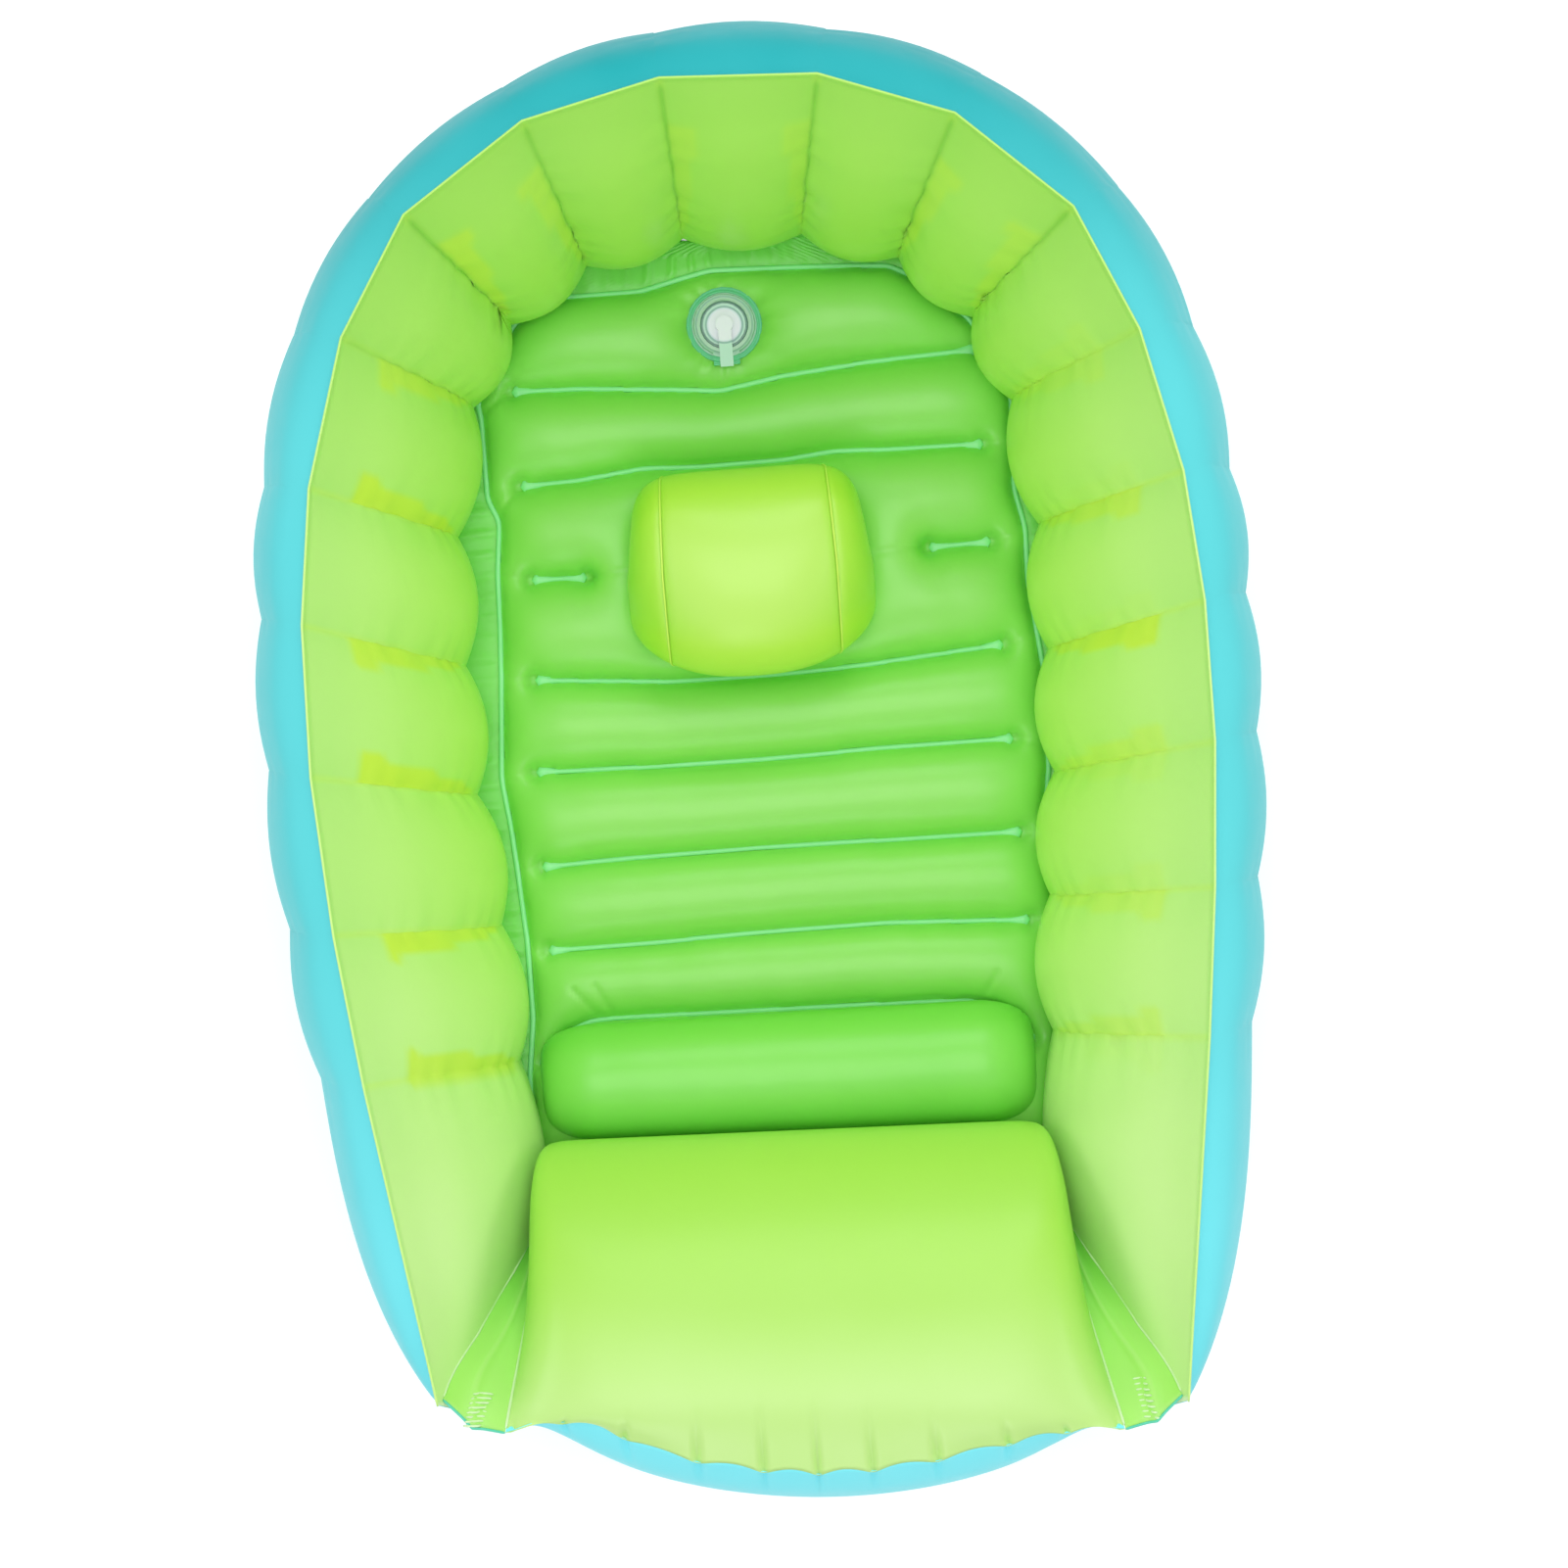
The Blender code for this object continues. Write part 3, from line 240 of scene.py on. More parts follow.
def smooth_rows(points, steps):
    """A Catmull-Rom curve through the rows: between rows b and c, with a before and d after,
    0.5 (2b + (c - a) s + (2a - 5b + 4c - d) s^2 + (3b - a - 3c + d) s^3)."""
    padded = np.concatenate([2 * points[:1] - points[1:2], points, 2 * points[-1:] - points[-2:-1]])
    a, b, c, d = (padded[k:len(padded) - 3 + k][:, None] for k in range(4))
    s = np.linspace(0, 1, steps, endpoint=False).reshape(1, steps, *[1] * (points.ndim - 1))
    curve = 0.5 * (2 * b + (c - a) * s + (2 * a - 5 * b + 4 * c - d) * s**2
                   + (3 * b - a - 3 * c + d) * s**3)
    return np.concatenate([curve.reshape(-1, *points.shape[1:]), points[-1:]])


def creases(side, rows, at):
    """Section rows at these baffles: corner + outward * (swell - depth), height share * height."""
    swell, depth, height = rows[:, 0:1], rows[:, 1:2], rows[:, 2:3]
    out = swell * SWELL[at] - depth * DEPTH[at] + side * WELD_GAP / 2
    plan = RIM[at] + OUTWARD[at] * out[..., None]
    z = np.maximum(height * HEIGHT[at], FILM)
    z[-1] = FLOOR_WELD_HEIGHT - side * (WELD_GAP / 2 + 2 * FILM)
    return np.concatenate([plan, z[..., None]], axis=2)


def lobes(side, rows, bulge, columns):
    """Chords between neighbouring baffles, each bulged by 4 t (1 - t). Returns points and t."""
    t = (1 - np.cos(np.linspace(0, math.pi, columns, endpoint=False))) / 2
    at = np.repeat(np.arange(len(RIM) - 1), columns)
    t = np.tile(t, len(RIM) - 1)
    start, end = creases(side, rows, at), creases(side, rows, at + 1)
    chord = end - start
    normal = unit(np.stack([-chord[..., 1], chord[..., 0], np.zeros(chord.shape[:2])], axis=2))
    arc = (rows[:, 3:4] * bulge * 4 * t * (1 - t))[..., None]
    return start + chord * t[:, None] + normal * side * arc, t


# The floor's films lie between the wall's two as far as the first of these shares of the rear lobe.
# From there to the second the wall's films close up on each other.
FLOOR_LAST = 0.38
FLOOR_GONE = 0.50


def end_lobe(side, rows, t, sign):
    """The long rear lobe, from the last baffle (t = 0) to the end seam (t = 1). Its fullness f is
    the root of 1 - t^4 and its swell f + 0.8 t (1 - t). Its depth falls off as
    (1 - t) (1 + 1.33 t), and its height goes over to the end seam's by 1 - f."""
    swell, depth, height, end_share = (rows[:, k:k + 1] for k in (0, 1, 2, 4))
    shift = np.array(END_SEAM_SHIFT) * np.interp(end_share, *END_LEAN)[..., None]
    rim_end = np.array(END_CORNER)
    last = len(RIM) - 1
    t = np.asarray(t)
    base = RIM[last] + (rim_end + shift - RIM[last]) * t[:, None]
    edge = rim_end - RIM[last]
    square = np.array([-edge[1], edge[0]]) / np.linalg.norm(edge)
    normal = unit(OUTWARD[last] + (square - OUTWARD[last]) * t[:, None])
    full = np.sqrt(np.maximum(1 - t**4, 0))
    belly = (1 - t) * (1 + END_BELLY * t)
    cheek = full + END_CHEEK * 4 * t * (1 - t)
    out = swell * SWELL[last] * cheek - depth * DEPTH[last] * belly + side * WELD_GAP / 2
    plan = base + normal * out[..., None]
    floor_films = 2 * FILM * ramp((FLOOR_GONE - t) / (FLOOR_GONE - FLOOR_LAST))
    seam = FLOOR_WELD_HEIGHT - side * (WELD_GAP / 2 + floor_films)
    end_rim = END_HEIGHT_SHARE * RIM_HEIGHT
    local = height * (HEIGHT[last] + (end_rim - HEIGHT[last]) * t)
    local = np.maximum(local, FILM)
    local[-1] = seam
    z = local + (seam + (end_rim - seam) * end_share - local) * (1 - full)
    return np.stack([sign * plan[..., 0], plan[..., 1], z], axis=2)


def wall_surface(side, rows, bulge):
    """One wall film as (rows, columns, 3), with each column's lobe share t and distance to its
    nearest baffle in metres. Rows run down the section and columns from left rear to right rear."""
    body, t = lobes(side, rows, bulge, LOBE_COLUMNS)
    closing = creases(side, rows, np.array([len(RIM) - 1]))
    t_end = np.linspace(0, 1, END_COLUMNS + 1)[1:] ** END_SPACING
    left = end_lobe(side, rows, t_end[::-1], -1)
    right = end_lobe(side, rows, t_end, 1)
    points = smooth_rows(np.concatenate([left, body, closing, right], axis=1), SECTION_STEPS)
    share = np.concatenate([t_end[::-1] / 2, t, [0.0], t_end / 2])
    edge_length = np.concatenate([
        np.full(END_COLUMNS, 2 * END_LENGTH),
        np.repeat(np.linalg.norm(np.diff(CREASE, axis=0), axis=1), LOBE_COLUMNS),
        np.full(END_COLUMNS + 1, 2 * END_LENGTH)])
    return points, share, np.minimum(share, 1 - share) * edge_length


def surface_normals(points):
    """The cross product of the steps along the rows and along the columns, made unit length."""
    return unit(np.cross(np.gradient(points, axis=1), np.gradient(points, axis=0)))


def gathered(points, t, to_baffle, reach, stretch, turns, wander, shift, depth):
    """A film rippled beside its baffles, along its normal by the depth times
    e^(-d / reach) sin^2(pi s) sin(turns r + 1.5 sin(wander r) + shift sign(t - 0.5)), where r
    runs from 0 to 1 down the rows, s is stretch r up to 1, and d is the distance to the baffle."""
    row = np.linspace(0, 1, len(points))[:, None]
    near = np.exp(-to_baffle / reach) * np.sin(math.pi * ramp(row * stretch)) ** 2
    ripple = np.sin(row * turns + np.sin(row * wander) * 1.5 + np.sign(t - 0.5) * shift)
    return points + surface_normals(points) * (depth * near * ripple)[..., None]


def film_piece(name, points, look, flip=False, thickness=FILM, **marks):
    """A film from a (rows, columns, 3) grid of points, with a float attribute for each mark. It is
    thickened on the side that its faces point to."""
    rows, columns = points.shape[:2]
    corner = np.arange(rows * columns).reshape(rows, columns)[:-1, :-1].ravel()
    quads = np.stack([corner, corner + 1, corner + columns + 1, corner + columns], axis=1)
    if flip:
        quads = quads[:, ::-1]
    mesh = bpy.data.meshes.new(name)
    mesh.vertices.add(rows * columns)
    mesh.vertices.foreach_set("co", points.astype(np.float32).ravel())
    mesh.loops.add(quads.size)
    mesh.loops.foreach_set("vertex_index", quads.astype(np.int32).ravel())
    mesh.polygons.add(len(quads))
    mesh.polygons.foreach_set("loop_start", np.arange(0, quads.size, 4, dtype=np.int32))
    mesh.update(calc_edges=True)
    mesh.validate()
    mesh.shade_smooth()
    for mark, values in marks.items():
        layer = mesh.attributes.new(mark, "FLOAT", "POINT")
        spread = np.broadcast_to(values, (rows, columns)).astype(np.float32)
        layer.data.foreach_set("value", spread.ravel())
    mesh.materials.append(look)
    made = add_object(name, mesh)
    if thickness:
        wall = made.modifiers.new("film", "SOLIDIFY")
        wall.thickness = thickness
        wall.offset = 1.0
        wall.use_even_offset = True
    return made


def srgb(hex_colour):
    """A written colour as linear red, green, blue and alpha."""
    parts = np.array([int(hex_colour[k:k + 2], 16) for k in (0, 2, 4)]) / 255
    return (*np.where(parts <= 0.04045, parts / 12.92, ((parts + 0.055) / 1.055) ** 2.4), 1.0)


def soft_film_group():
    """Cloudy tone and fine crinkles of soft film, worked out at the piece's own scale."""
    group = bpy.data.node_groups.new("soft_film", "ShaderNodeTree")
    face = group.interface
    for title, kind in (("Colour", "NodeSocketColor"), ("Cloud", "NodeSocketColor"),
                        ("Cloud Amount", "NodeSocketFloat"), ("Crinkle Size", "NodeSocketFloat")):
        face.new_socket(title, in_out="INPUT", socket_type=kind)
    for title, kind in (("Colour", "NodeSocketColor"), ("Roughness", "NodeSocketFloat"),
                        ("Height", "NodeSocketFloat")):
        face.new_socket(title, in_out="OUTPUT", socket_type=kind)
    given, result = group.nodes.new("NodeGroupInput"), group.nodes.new("NodeGroupOutput")
    place = add_node(group, "TexCoord").outputs["Object"]
    clouds = add_node(group, "TexNoise", {"Vector": place, "Scale": 9.0, "Detail": 2.0})
    crinkles = add_node(group, "TexNoise", {
        "Vector": place, "Scale": given.outputs["Crinkle Size"], "Detail": 3.0, "Distortion": 0.6})
    amount = add_node(group, "Math", {0: clouds.outputs["Fac"], 1: given.outputs["Cloud Amount"]},
                      operation="MULTIPLY")
    tone = add_node(group, "Mix", data_type="RGBA", inputs={
        "Factor": amount, "A": given.outputs["Colour"], "B": given.outputs["Cloud"]})
    rough = add_node(group, "MapRange", {
        "Value": crinkles.outputs["Fac"], "To Min": 0.30, "To Max": 0.42})
    for title, source in (("Colour", tone.outputs["Result"]), ("Roughness", rough.outputs[0]),
                          ("Height", crinkles.outputs["Fac"])):
        group.links.new(source, result.inputs[title])
    return group


SOFT_FILM = soft_film_group()


def colour_over(tree, base, value, low, high, colour, amount=1.0):
    """The base colour, going over to another by the amount as the value runs from low to high."""
    share = add_node(tree, "MapRange", interpolation_type="SMOOTHSTEP", inputs={
        "Value": value, "From Min": low, "From Max": high, "To Max": amount})
    mix = add_node(tree, "Mix", data_type="RGBA", inputs={
        "Factor": share, "A": base, "B": srgb(colour)})
    return mix.outputs["Result"]


def plain_colour(tree, colour):
    """A colour node's output."""
    made = add_node(tree, "RGB")
    made.outputs[0].default_value = srgb(colour)
    return made.outputs[0]


def film_look(name, base, cloud, steps, crinkle_size=60.0, crinkle_depth=0.0003, glow=0.10,
              gloss=0.42):
    """A film's material. Its steps are (attribute, low, high, colour, amount): where the attribute
    runs from low to high, the colour takes over by that amount."""
    look, tree = material(name)
    colour = plain_colour(tree, base)
    for mark, low, high, over, amount in steps:
        read = add_node(tree, "Attribute", attribute_name=mark)
        colour = colour_over(tree, colour, read.outputs["Fac"], low, high, over, amount)
    grain = add_node(tree, "Group", node_tree=SOFT_FILM, inputs={
        "Colour": colour, "Cloud": srgb(cloud), "Cloud Amount": 0.5, "Crinkle Size": crinkle_size})
    bump = add_node(tree, "Bump", {
        "Distance": crinkle_depth, "Strength": 0.6, "Height": grain.outputs["Height"]})
    shader = add_node(tree, "BsdfPrincipled", {
        "Base Color": grain.outputs["Colour"], "Roughness": grain.outputs["Roughness"],
        "Normal": bump, "Subsurface Weight": glow, "Subsurface Radius": (0.012, 0.016, 0.006),
        "Subsurface Scale": 1.0, "Specular IOR Level": gloss, "Coat Weight": 0.3 * gloss,
        "Coat Roughness": 0.25})
    add_node(tree, "OutputMaterial", {"Surface": shader})
    return look


# How deep the yellow of the weld strip is before and after each baffle, from the left rear on
PATCHES = np.array([(0, 1), (1, 0), (0, 1), (1, 0), (0, 1), (0.7, 0), (0, 0.6), (0.5, 0), (0, 0.4),
                    (0.4, 0), (0, 0.5), (0.5, 0), (0.3, 0.4), (0.2, 0.6), (0.2, 1), (0.5, 0.3),
                    (0.3, 0.5), (0.5, 0.2)])
# Each strip is a wedge: as wide as PATCH_WIDTH at its upper end, and down to a fifth at its foot.
PATCH_WIDTH = 0.019
PATCH_NARROWING = 0.8
PATCH_EDGE = 0.0012
PATCH_ROWS = (0.20, 0.66)
PATCH_TOP_EDGE, PATCH_FOOT_EDGE = 0.02, 0.1
inner_points, inner_t, to_baffle = wall_surface(-1, INNER_ROWS, INNER_BULGE)
inner_points = gathered(askew(inner_points), inner_t, to_baffle, reach=0.012, stretch=1.1,
                        turns=74, wander=23, shift=1.1, depth=0.0009)
row_share = np.linspace(0, 1, len(inner_points))[:, None]
lobe = np.concatenate([np.zeros(END_COLUMNS), np.repeat(np.arange(len(RIM) - 1), LOBE_COLUMNS),
                       np.full(END_COLUMNS + 1, len(RIM) - 1)]).astype(int)
in_end = np.arange(len(inner_t)) < END_COLUMNS
before_next = np.where(in_end, PATCHES[0, 0], PATCHES[np.minimum(lobe + 1, len(RIM) - 1), 0])
patch_depth = np.where((inner_t < 0.5) & ~in_end, PATCHES[lobe, 1], before_next)
patch_depth[-END_COLUMNS - 1:] = PATCHES[-1, 1]
down_patch = (row_share - PATCH_ROWS[0]) / (PATCH_ROWS[1] - PATCH_ROWS[0])
patch_width = PATCH_WIDTH * (1 - PATCH_NARROWING * down_patch)
patch = (ramp((patch_width - to_baffle) / PATCH_EDGE)
         * ramp(down_patch / PATCH_TOP_EDGE)
         * ramp((1 - down_patch) / PATCH_FOOT_EDGE) * patch_depth)
# Painted light and shade in the wall's colour: the lower wall is painted deeper yellow as the shade
# it lies in, and the rear of the wall is painted paler to lift the shade it lies in. By each baffle
# the crease is painted a lighter, deeper yellow: the yellow is the weld showing through, and the
# lightness is painted light against the crease's shade.
inner_look = film_look("inner_wall_film", "C6F48E", "BEF27A", [
    ("down", 0.05, 0.70, "BEF454", 0.9), ("rear", -0.02, -0.36, "E4FFB8", 0.85),
    ("rear", 0.10, 0.40, "A0E44A", 0.7), ("patch", 0.0, 1.0, "D6F01C", 0.85),
    ("baffle", 0.004, 0.0, "DCF850", 0.3), ("head_crease", 0.0, 1.0, "6CC83A", 0.7)])
# The creases of the head are painted deeper green as shade, in a line as wide as this, over these
# ranges of y and r.
CREASE_LINE = 0.0022
CREASE_FROM_Y, CREASE_EASE_Y = 0.22, 0.12
CREASE_TO_ROW, CREASE_EASE_ROWS = 0.75, (0.05, 0.3)
head_crease = (np.exp(-(to_baffle / CREASE_LINE) ** 2)
               * ramp((inner_points[..., 1] - CREASE_FROM_Y) / CREASE_EASE_Y)
               * ramp(row_share / CREASE_EASE_ROWS[0])
               * ramp((CREASE_TO_ROW - row_share) / CREASE_EASE_ROWS[1]))
inner_grid = np.concatenate([inner_points[:1] + (0, 0, RIM_FIN), inner_points])
patch, head_crease, baffle, down = (
    np.concatenate([np.full_like(patch[:1], on_fin), values + 0 * patch])
    for values, on_fin in ((patch, 0), (head_crease, 0), (to_baffle, 1), (row_share, 0)))
inner_wall = film_piece("wall_inner_film", inner_grid, inner_look, flip=True, down=down,
                        patch=patch, head_crease=head_crease, baffle=baffle,
                        rear=inner_grid[..., 1])
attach(inner_wall, "tub")
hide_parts("wall_inner_skin")

# Outer wall and underside: one blue film. It bulges out between the rim and the floor, is pulled
# in a little at each baffle, and stands up along the rim as the narrow fin of the weld.
OUTER_BULGE = 0.0065
OUTER_ROWS = np.array([
    (0.00, 0.00, 1.00, 0.0, 1.00), (0.50, 0.00, 0.90, 0.6, 0.90), (0.88, 0.00, 0.68, 1.0, 0.70),
    (1.00, 0.00, 0.46, 1.0, 0.45), (0.84, 0.00, 0.20, 0.8, 0.20), (0.42, 0.00, 0.05, 0.3, 0.09),
    (0.00, 0.12, 0.00, 0.0, 0.06), (0.00, 0.67, 0.00, 0.0, 0.03), (0.00, 0.93, 0.00, 0.0, 0.00),
])
outer_points, outer_t, outer_to_baffle = wall_surface(1, OUTER_ROWS, OUTER_BULGE)
outer_points = askew(outer_points)
outer_points[..., 2] = np.maximum(outer_points[..., 2], FILM)
outer_points = gathered(outer_points, outer_t, outer_to_baffle, reach=0.014, stretch=1.3,
                        turns=90, wander=31, shift=1.0, depth=0.0008)
outer_points[..., 2] = np.maximum(outer_points[..., 2], FILM)
WALL_VALVE = (-0.28815, -0.2833, 0.07425)
VALVE_RADIUS = 0.016
VALVE_HOLE = 0.0125
VALVE_PRESS_RADII = 2.2
HOLE_REACH = 0.03
BLUE_SHEEN = {"gloss": 0.02, "glow": 0.03}


def fit_to_flange(points, centre, axis):
    """Presses a film flat round an air valve: from 2.2 to 1.2 valve radii of its centre, the
    coordinate along the axis goes over to the centre's own, by 3 w^2 - 2 w^3."""
    square = [k for k in range(3) if k != axis]
    away = np.linalg.norm(points[..., square] - np.array(centre)[square], axis=2)
    w = ramp((VALVE_PRESS_RADII * VALVE_RADIUS - away) / VALVE_RADIUS)
    w = np.where(np.abs(points[..., axis] - centre[axis]) < HOLE_REACH, w * w * (3 - 2 * w), 0)
    points[..., axis] += w * (centre[axis] - points[..., axis])


def cut_round_hole(piece, centre, axis, radius):
    """Drops the faces whose middle lies nearer to the axis through the centre than the radius."""
    mesh = piece.data
    middles = np.empty(len(mesh.polygons) * 3)
    mesh.polygons.foreach_get("center", middles)
    from_centre = middles.reshape(-1, 3) - centre
    along = np.abs(from_centre[:, axis])
    from_centre[:, axis] = 0
    near = np.flatnonzero((np.linalg.norm(from_centre, axis=1) < radius) & (along < HOLE_REACH))
    sheet = bmesh.new()
    sheet.from_mesh(mesh)
    sheet.faces.ensure_lookup_table()
    bmesh.ops.delete(sheet, geom=[sheet.faces[k] for k in near], context="FACES")
    sheet.to_mesh(mesh)
    sheet.free()


fit_to_flange(outer_points, WALL_VALVE, 0)
outer_grid = np.concatenate([outer_points[:1] + (0, 0, RIM_FIN), outer_points])
outer_look = film_look("outer_wall_film", "66DEE2", "5ED8DE", [
    ("rear", 0.20, 0.47, "02A6AA", 0.99), ("rear", -0.04, -0.36, "82F2FC", 0.9)], **BLUE_SHEEN)
outer_wall = film_piece("wall_outer_film", outer_grid, outer_look, rear=outer_grid[..., 1])
cut_round_hole(outer_wall, WALL_VALVE, 0, VALVE_HOLE)
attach(outer_wall, "tub")
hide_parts("wall_outer_skin")


TUBE_SIDES = 8
TUBE_END_SHARE = 0.3


def tube(path, radius, up=(0.0, 0.0, 1.0)):
    """A round tube along a path of points. One axis of its section lies square to the path and to
    up. Its radius closes at both ends as the root of 0.3 + the number of stations from there."""
    path = np.array(path, float)
    ahead = unit(np.gradient(path, axis=0))
    square = unit(np.cross(ahead, up))
    third = np.cross(square, ahead)
    angle = np.linspace(0, 2 * math.pi, TUBE_SIDES, endpoint=False)[None, :, None]
    station = np.arange(len(path))
    reach = radius * np.sqrt(ramp(np.minimum(station, station[::-1]) + TUBE_END_SHARE))
    ring = square[:, None] * np.cos(angle) + third[:, None] * np.sin(angle)
    return path[:, None] + reach[:, None, None] * ring


def tubes_piece(name, tubes, look):
    """Closed tubes, each a (stations, sides, 3) array, joined in one mesh. Each end is one face."""
    points, faces, start = [], [], 0
    for one in tubes:
        stations, sides = one.shape[:2]
        ring = np.arange(sides)
        k = np.arange(stations - 1)[:, None] * sides
        quads = np.stack([k + ring, k + (ring + 1) % sides, k + sides + (ring + 1) % sides,
                          k + sides + ring], axis=2).reshape(-1, 4) + start
        faces += quads.tolist()
        faces.append((ring[::-1] + start).tolist())
        faces.append((ring + start + (stations - 1) * sides).tolist())
        points.append(one.reshape(-1, 3))
        start += stations * sides
    mesh = bpy.data.meshes.new(name)
    mesh.from_pydata(np.concatenate(points).tolist(), [], faces)
    sheet = bmesh.new()
    sheet.from_mesh(mesh)
    bmesh.ops.recalc_face_normals(sheet, faces=sheet.faces)
    sheet.to_mesh(mesh)
    sheet.free()
    mesh.shade_smooth()
    mesh.materials.append(look)
    return add_object(name, mesh)


# Rim weld: the two films are pressed together in a narrow fin, whose lip shows as a lime line.
RIM_LIP = 0.0008
WELD_GRAIN = {"crinkle_size": 150.0, "crinkle_depth": 0.0001}
lip_look = film_look("rim_lip", "CCF68C", "C4F27E", [("rear", 0.10, 0.40, "A8EA4E", 0.7)],
                     **WELD_GRAIN)
rim_path = (outer_points[0] + inner_points[0]) / 2 + (0, 0, RIM_FIN)
rim_lip = tubes_piece("rim_weld_lip", [tube(rim_path, RIM_LIP)], lip_look)
lip_mark = rim_lip.data.attributes.new("rear", "FLOAT", "POINT")
lip_mark.data.foreach_set("value", np.repeat(rim_path[:, 1], TUBE_SIDES).astype(np.float32))
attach(rim_lip, "tub")

# Air floor: a green film over another one, welded together round the edge and along the ribs. The
# ribs end in round spots, so the air can pass. The upper film takes the form of a thin skin under
# air pressure between its welds, and is creased from each rib's end to the edge.
SEAM_CLEARANCE = 0.0009
FLOOR_REAR = -0.262
DRAIN = np.array([-0.005, 0.305])
DRAIN_HOLE = 0.0145
UPPER_HOLE_PLAY, LOWER_HOLE_PLAY = 0.003, 0.004
DRAIN_RADIUS = 0.026
DRAIN_RISE = 0.006
SADDLE_RISE = 0.0155
AIR_SHARE = 0.76
FULL_RISE = 24.0
WELD_EASE = 1.3
# The welds' points, in millimetres from the middle of the tub
RIBS = [
    [(-154, 271), (-110, 270), (-40, 264), (-11, 261), (33, 268), (92, 273), (166, 276)],
    [(-153, 206), (-115, 207), (-68, 212), (-28, 210), (29, 210.5), (64, 214), (105, 212),
     (166, 211)],
    [(-150, 141.5), (-112, 140.5)], [(123, 143), (166, 144)],
    [(-153, 73), (-62, 65), (6, 64), (71, 66), (169, 73)],
    [(-157, 10), (-89, 8), (-4, 7), (81, 8.5), (171, 8)],
    [(-158, -55), (-94, -53.5), (-9, -53), (76, -54.5), (172, -56)],
    [(-158, -112.5), (-84, -112.5), (-13, -111), (72, -111), (173, -116.5)],
]
BOLSTER_LINE = [(-170, -190), (-151, -170), (-133, -163), (-116, -162), (-17, -164.5), (67, -166.5),
                (124, -168.5), (141, -172), (159, -182), (170, -199)]
EDGE_WELD = [(184, -270), (185, -222), (190, -115), (190, -92), (189, -43), (193.5, -13), (195, 55),
             (192.5, 81), (189, 116), (190, 152), (184.5, 178), (187, 241), (184, 262), (163, 297),
             (133, 326), (110, 338), (80, 340), (39, 342), (-12, 344), (-29, 340.5), (-61, 333),
             (-93, 333), (-122, 333), (-148, 318), (-167, 291), (-178, 264), (-176, 256),
             (-176, 199), (-169, 183), (-173, 147), (-174, 112), (-176, 76), (-181, 7),
             (-177, -27), (-175, -56), (-172, -104), (-172, -158), (-177, -195), (-180, -254)]
CREASES = [
    [(-156, 271), (-176, 256)], [(-154, 205), (-170, 186)], [(-151, 141), (-172, 148)],
    [(-154, 73), (-176, 78)], [(-158, 10), (-181, 7)], [(-159, -55), (-175, -57)],
    [(-160, -113), (-173, -110)], [(168, 211), (187, 209)], [(167, 144), (190, 151)],
    [(-110, 141), (-84, 142)], [(121, 143), (86, 141)], [(171, 73), (192, 81)],
    [(173, 8), (193, 3)], [(174, -56), (189, -62)], [(175, -117), (190, -113)],
    [(-62, 213), (-73, 204)], [(64, 215), (72, 203)], [(-143, -140), (-125, -161)],
    [(-128, -138), (-117, -158)], [(139, -163), (147, -150)], [(-11, 262), (-8, 276)],
]
# The raster on which the skin is worked out, in millimetres, and how wide each weld holds it down
CELL = 1.6
RASTER_START, RASTER_END = (-208, -276), (208, 368)
HELD_BESIDE_WELD, HELD_ROUND_SPOT = 2.4, 5.2
# The saddle's print on the floor: an oval |x / a|^p + |(y - b) / c|^p < 1 with these a, b, c and p
PRINT_HALF_WIDTH, PRINT_Y, PRINT_HALF_LENGTH, PRINT_POWER = 71, 132, 63, 3.4
DRAIN_MM = DRAIN * 1000


def distance_to(lines, x, y):
    """Least distance in millimetres from each point to any segment of the lines."""
    starts = np.concatenate([np.array(line[:-1], float) for line in lines])
    steps = np.concatenate([np.diff(np.array(line, float), axis=0) for line in lines])
    least = np.full(x.shape, 1e9)
    for (ax, ay), (sx, sy) in zip(starts, steps):
        t = ramp(((x - ax) * sx + (y - ay) * sy) / (sx * sx + sy * sy))
        least = np.minimum(least, np.hypot(x - ax - sx * t, y - ay - sy * t))
    return least


def inside(loop, x, y):
    """True where a ray from the point crosses the closed loop an odd number of times."""
    loop = np.array(loop, float)
    odd = np.zeros(x.shape, bool)
    for (ax, ay), (bx, by) in zip(loop, np.roll(loop, -1, axis=0)):
        crosses = (ay > y) != (by > y)
        odd ^= crosses & (x < ax + (bx - ax) * (y - ay) / (by - ay if by != ay else 1.0))
    return odd


def inflate(free, fixed, cell, rounds=420, hurry=1.95):
    """A skin under pressure: each free cell moves towards the mean of its four neighbours plus
    cell^2 / 4, red cells and black cells in turn, overshooting by the hurry factor."""
    skin = fixed.copy()
    checks = np.add.outer(np.arange(free.shape[0]), np.arange(free.shape[1])) % 2
    parts = [free & (checks == k) for k in (0, 1)]
    for _ in range(rounds):
        for part in parts:
            mean = (np.roll(skin, 1, 0) + np.roll(skin, -1, 0) + np.roll(skin, 1, 1)
                    + np.roll(skin, -1, 1) + cell * cell) / 4
            skin[part] += hurry * (mean - skin)[part]
    return skin


def read_raster(raster, x, y):
    """The raster's value at x and y in millimetres, from its four nearest cells by nearness."""
    fx, fy = (x - RASTER_START[0]) / CELL, (y - RASTER_START[1]) / CELL
    ix = np.clip(np.floor(fx).astype(int), 0, raster.shape[1] - 2)
    iy = np.clip(np.floor(fy).astype(int), 0, raster.shape[0] - 2)
    fx, fy = ramp(fx - ix), ramp(fy - iy)
    near = raster[iy, ix] * (1 - fx) + raster[iy, ix + 1] * fx
    far = raster[iy + 1, ix] * (1 - fx) + raster[iy + 1, ix + 1] * fx
    return near * (1 - fy) + far * fy


def skin_at(rise):
    """The skin's height that ends as this rise in metres, by the two laws after inflate."""
    return (FULL_RISE * (rise * 1000 / FULL_RISE) ** (1 / WELD_EASE) / AIR_SHARE) ** 2 / 2


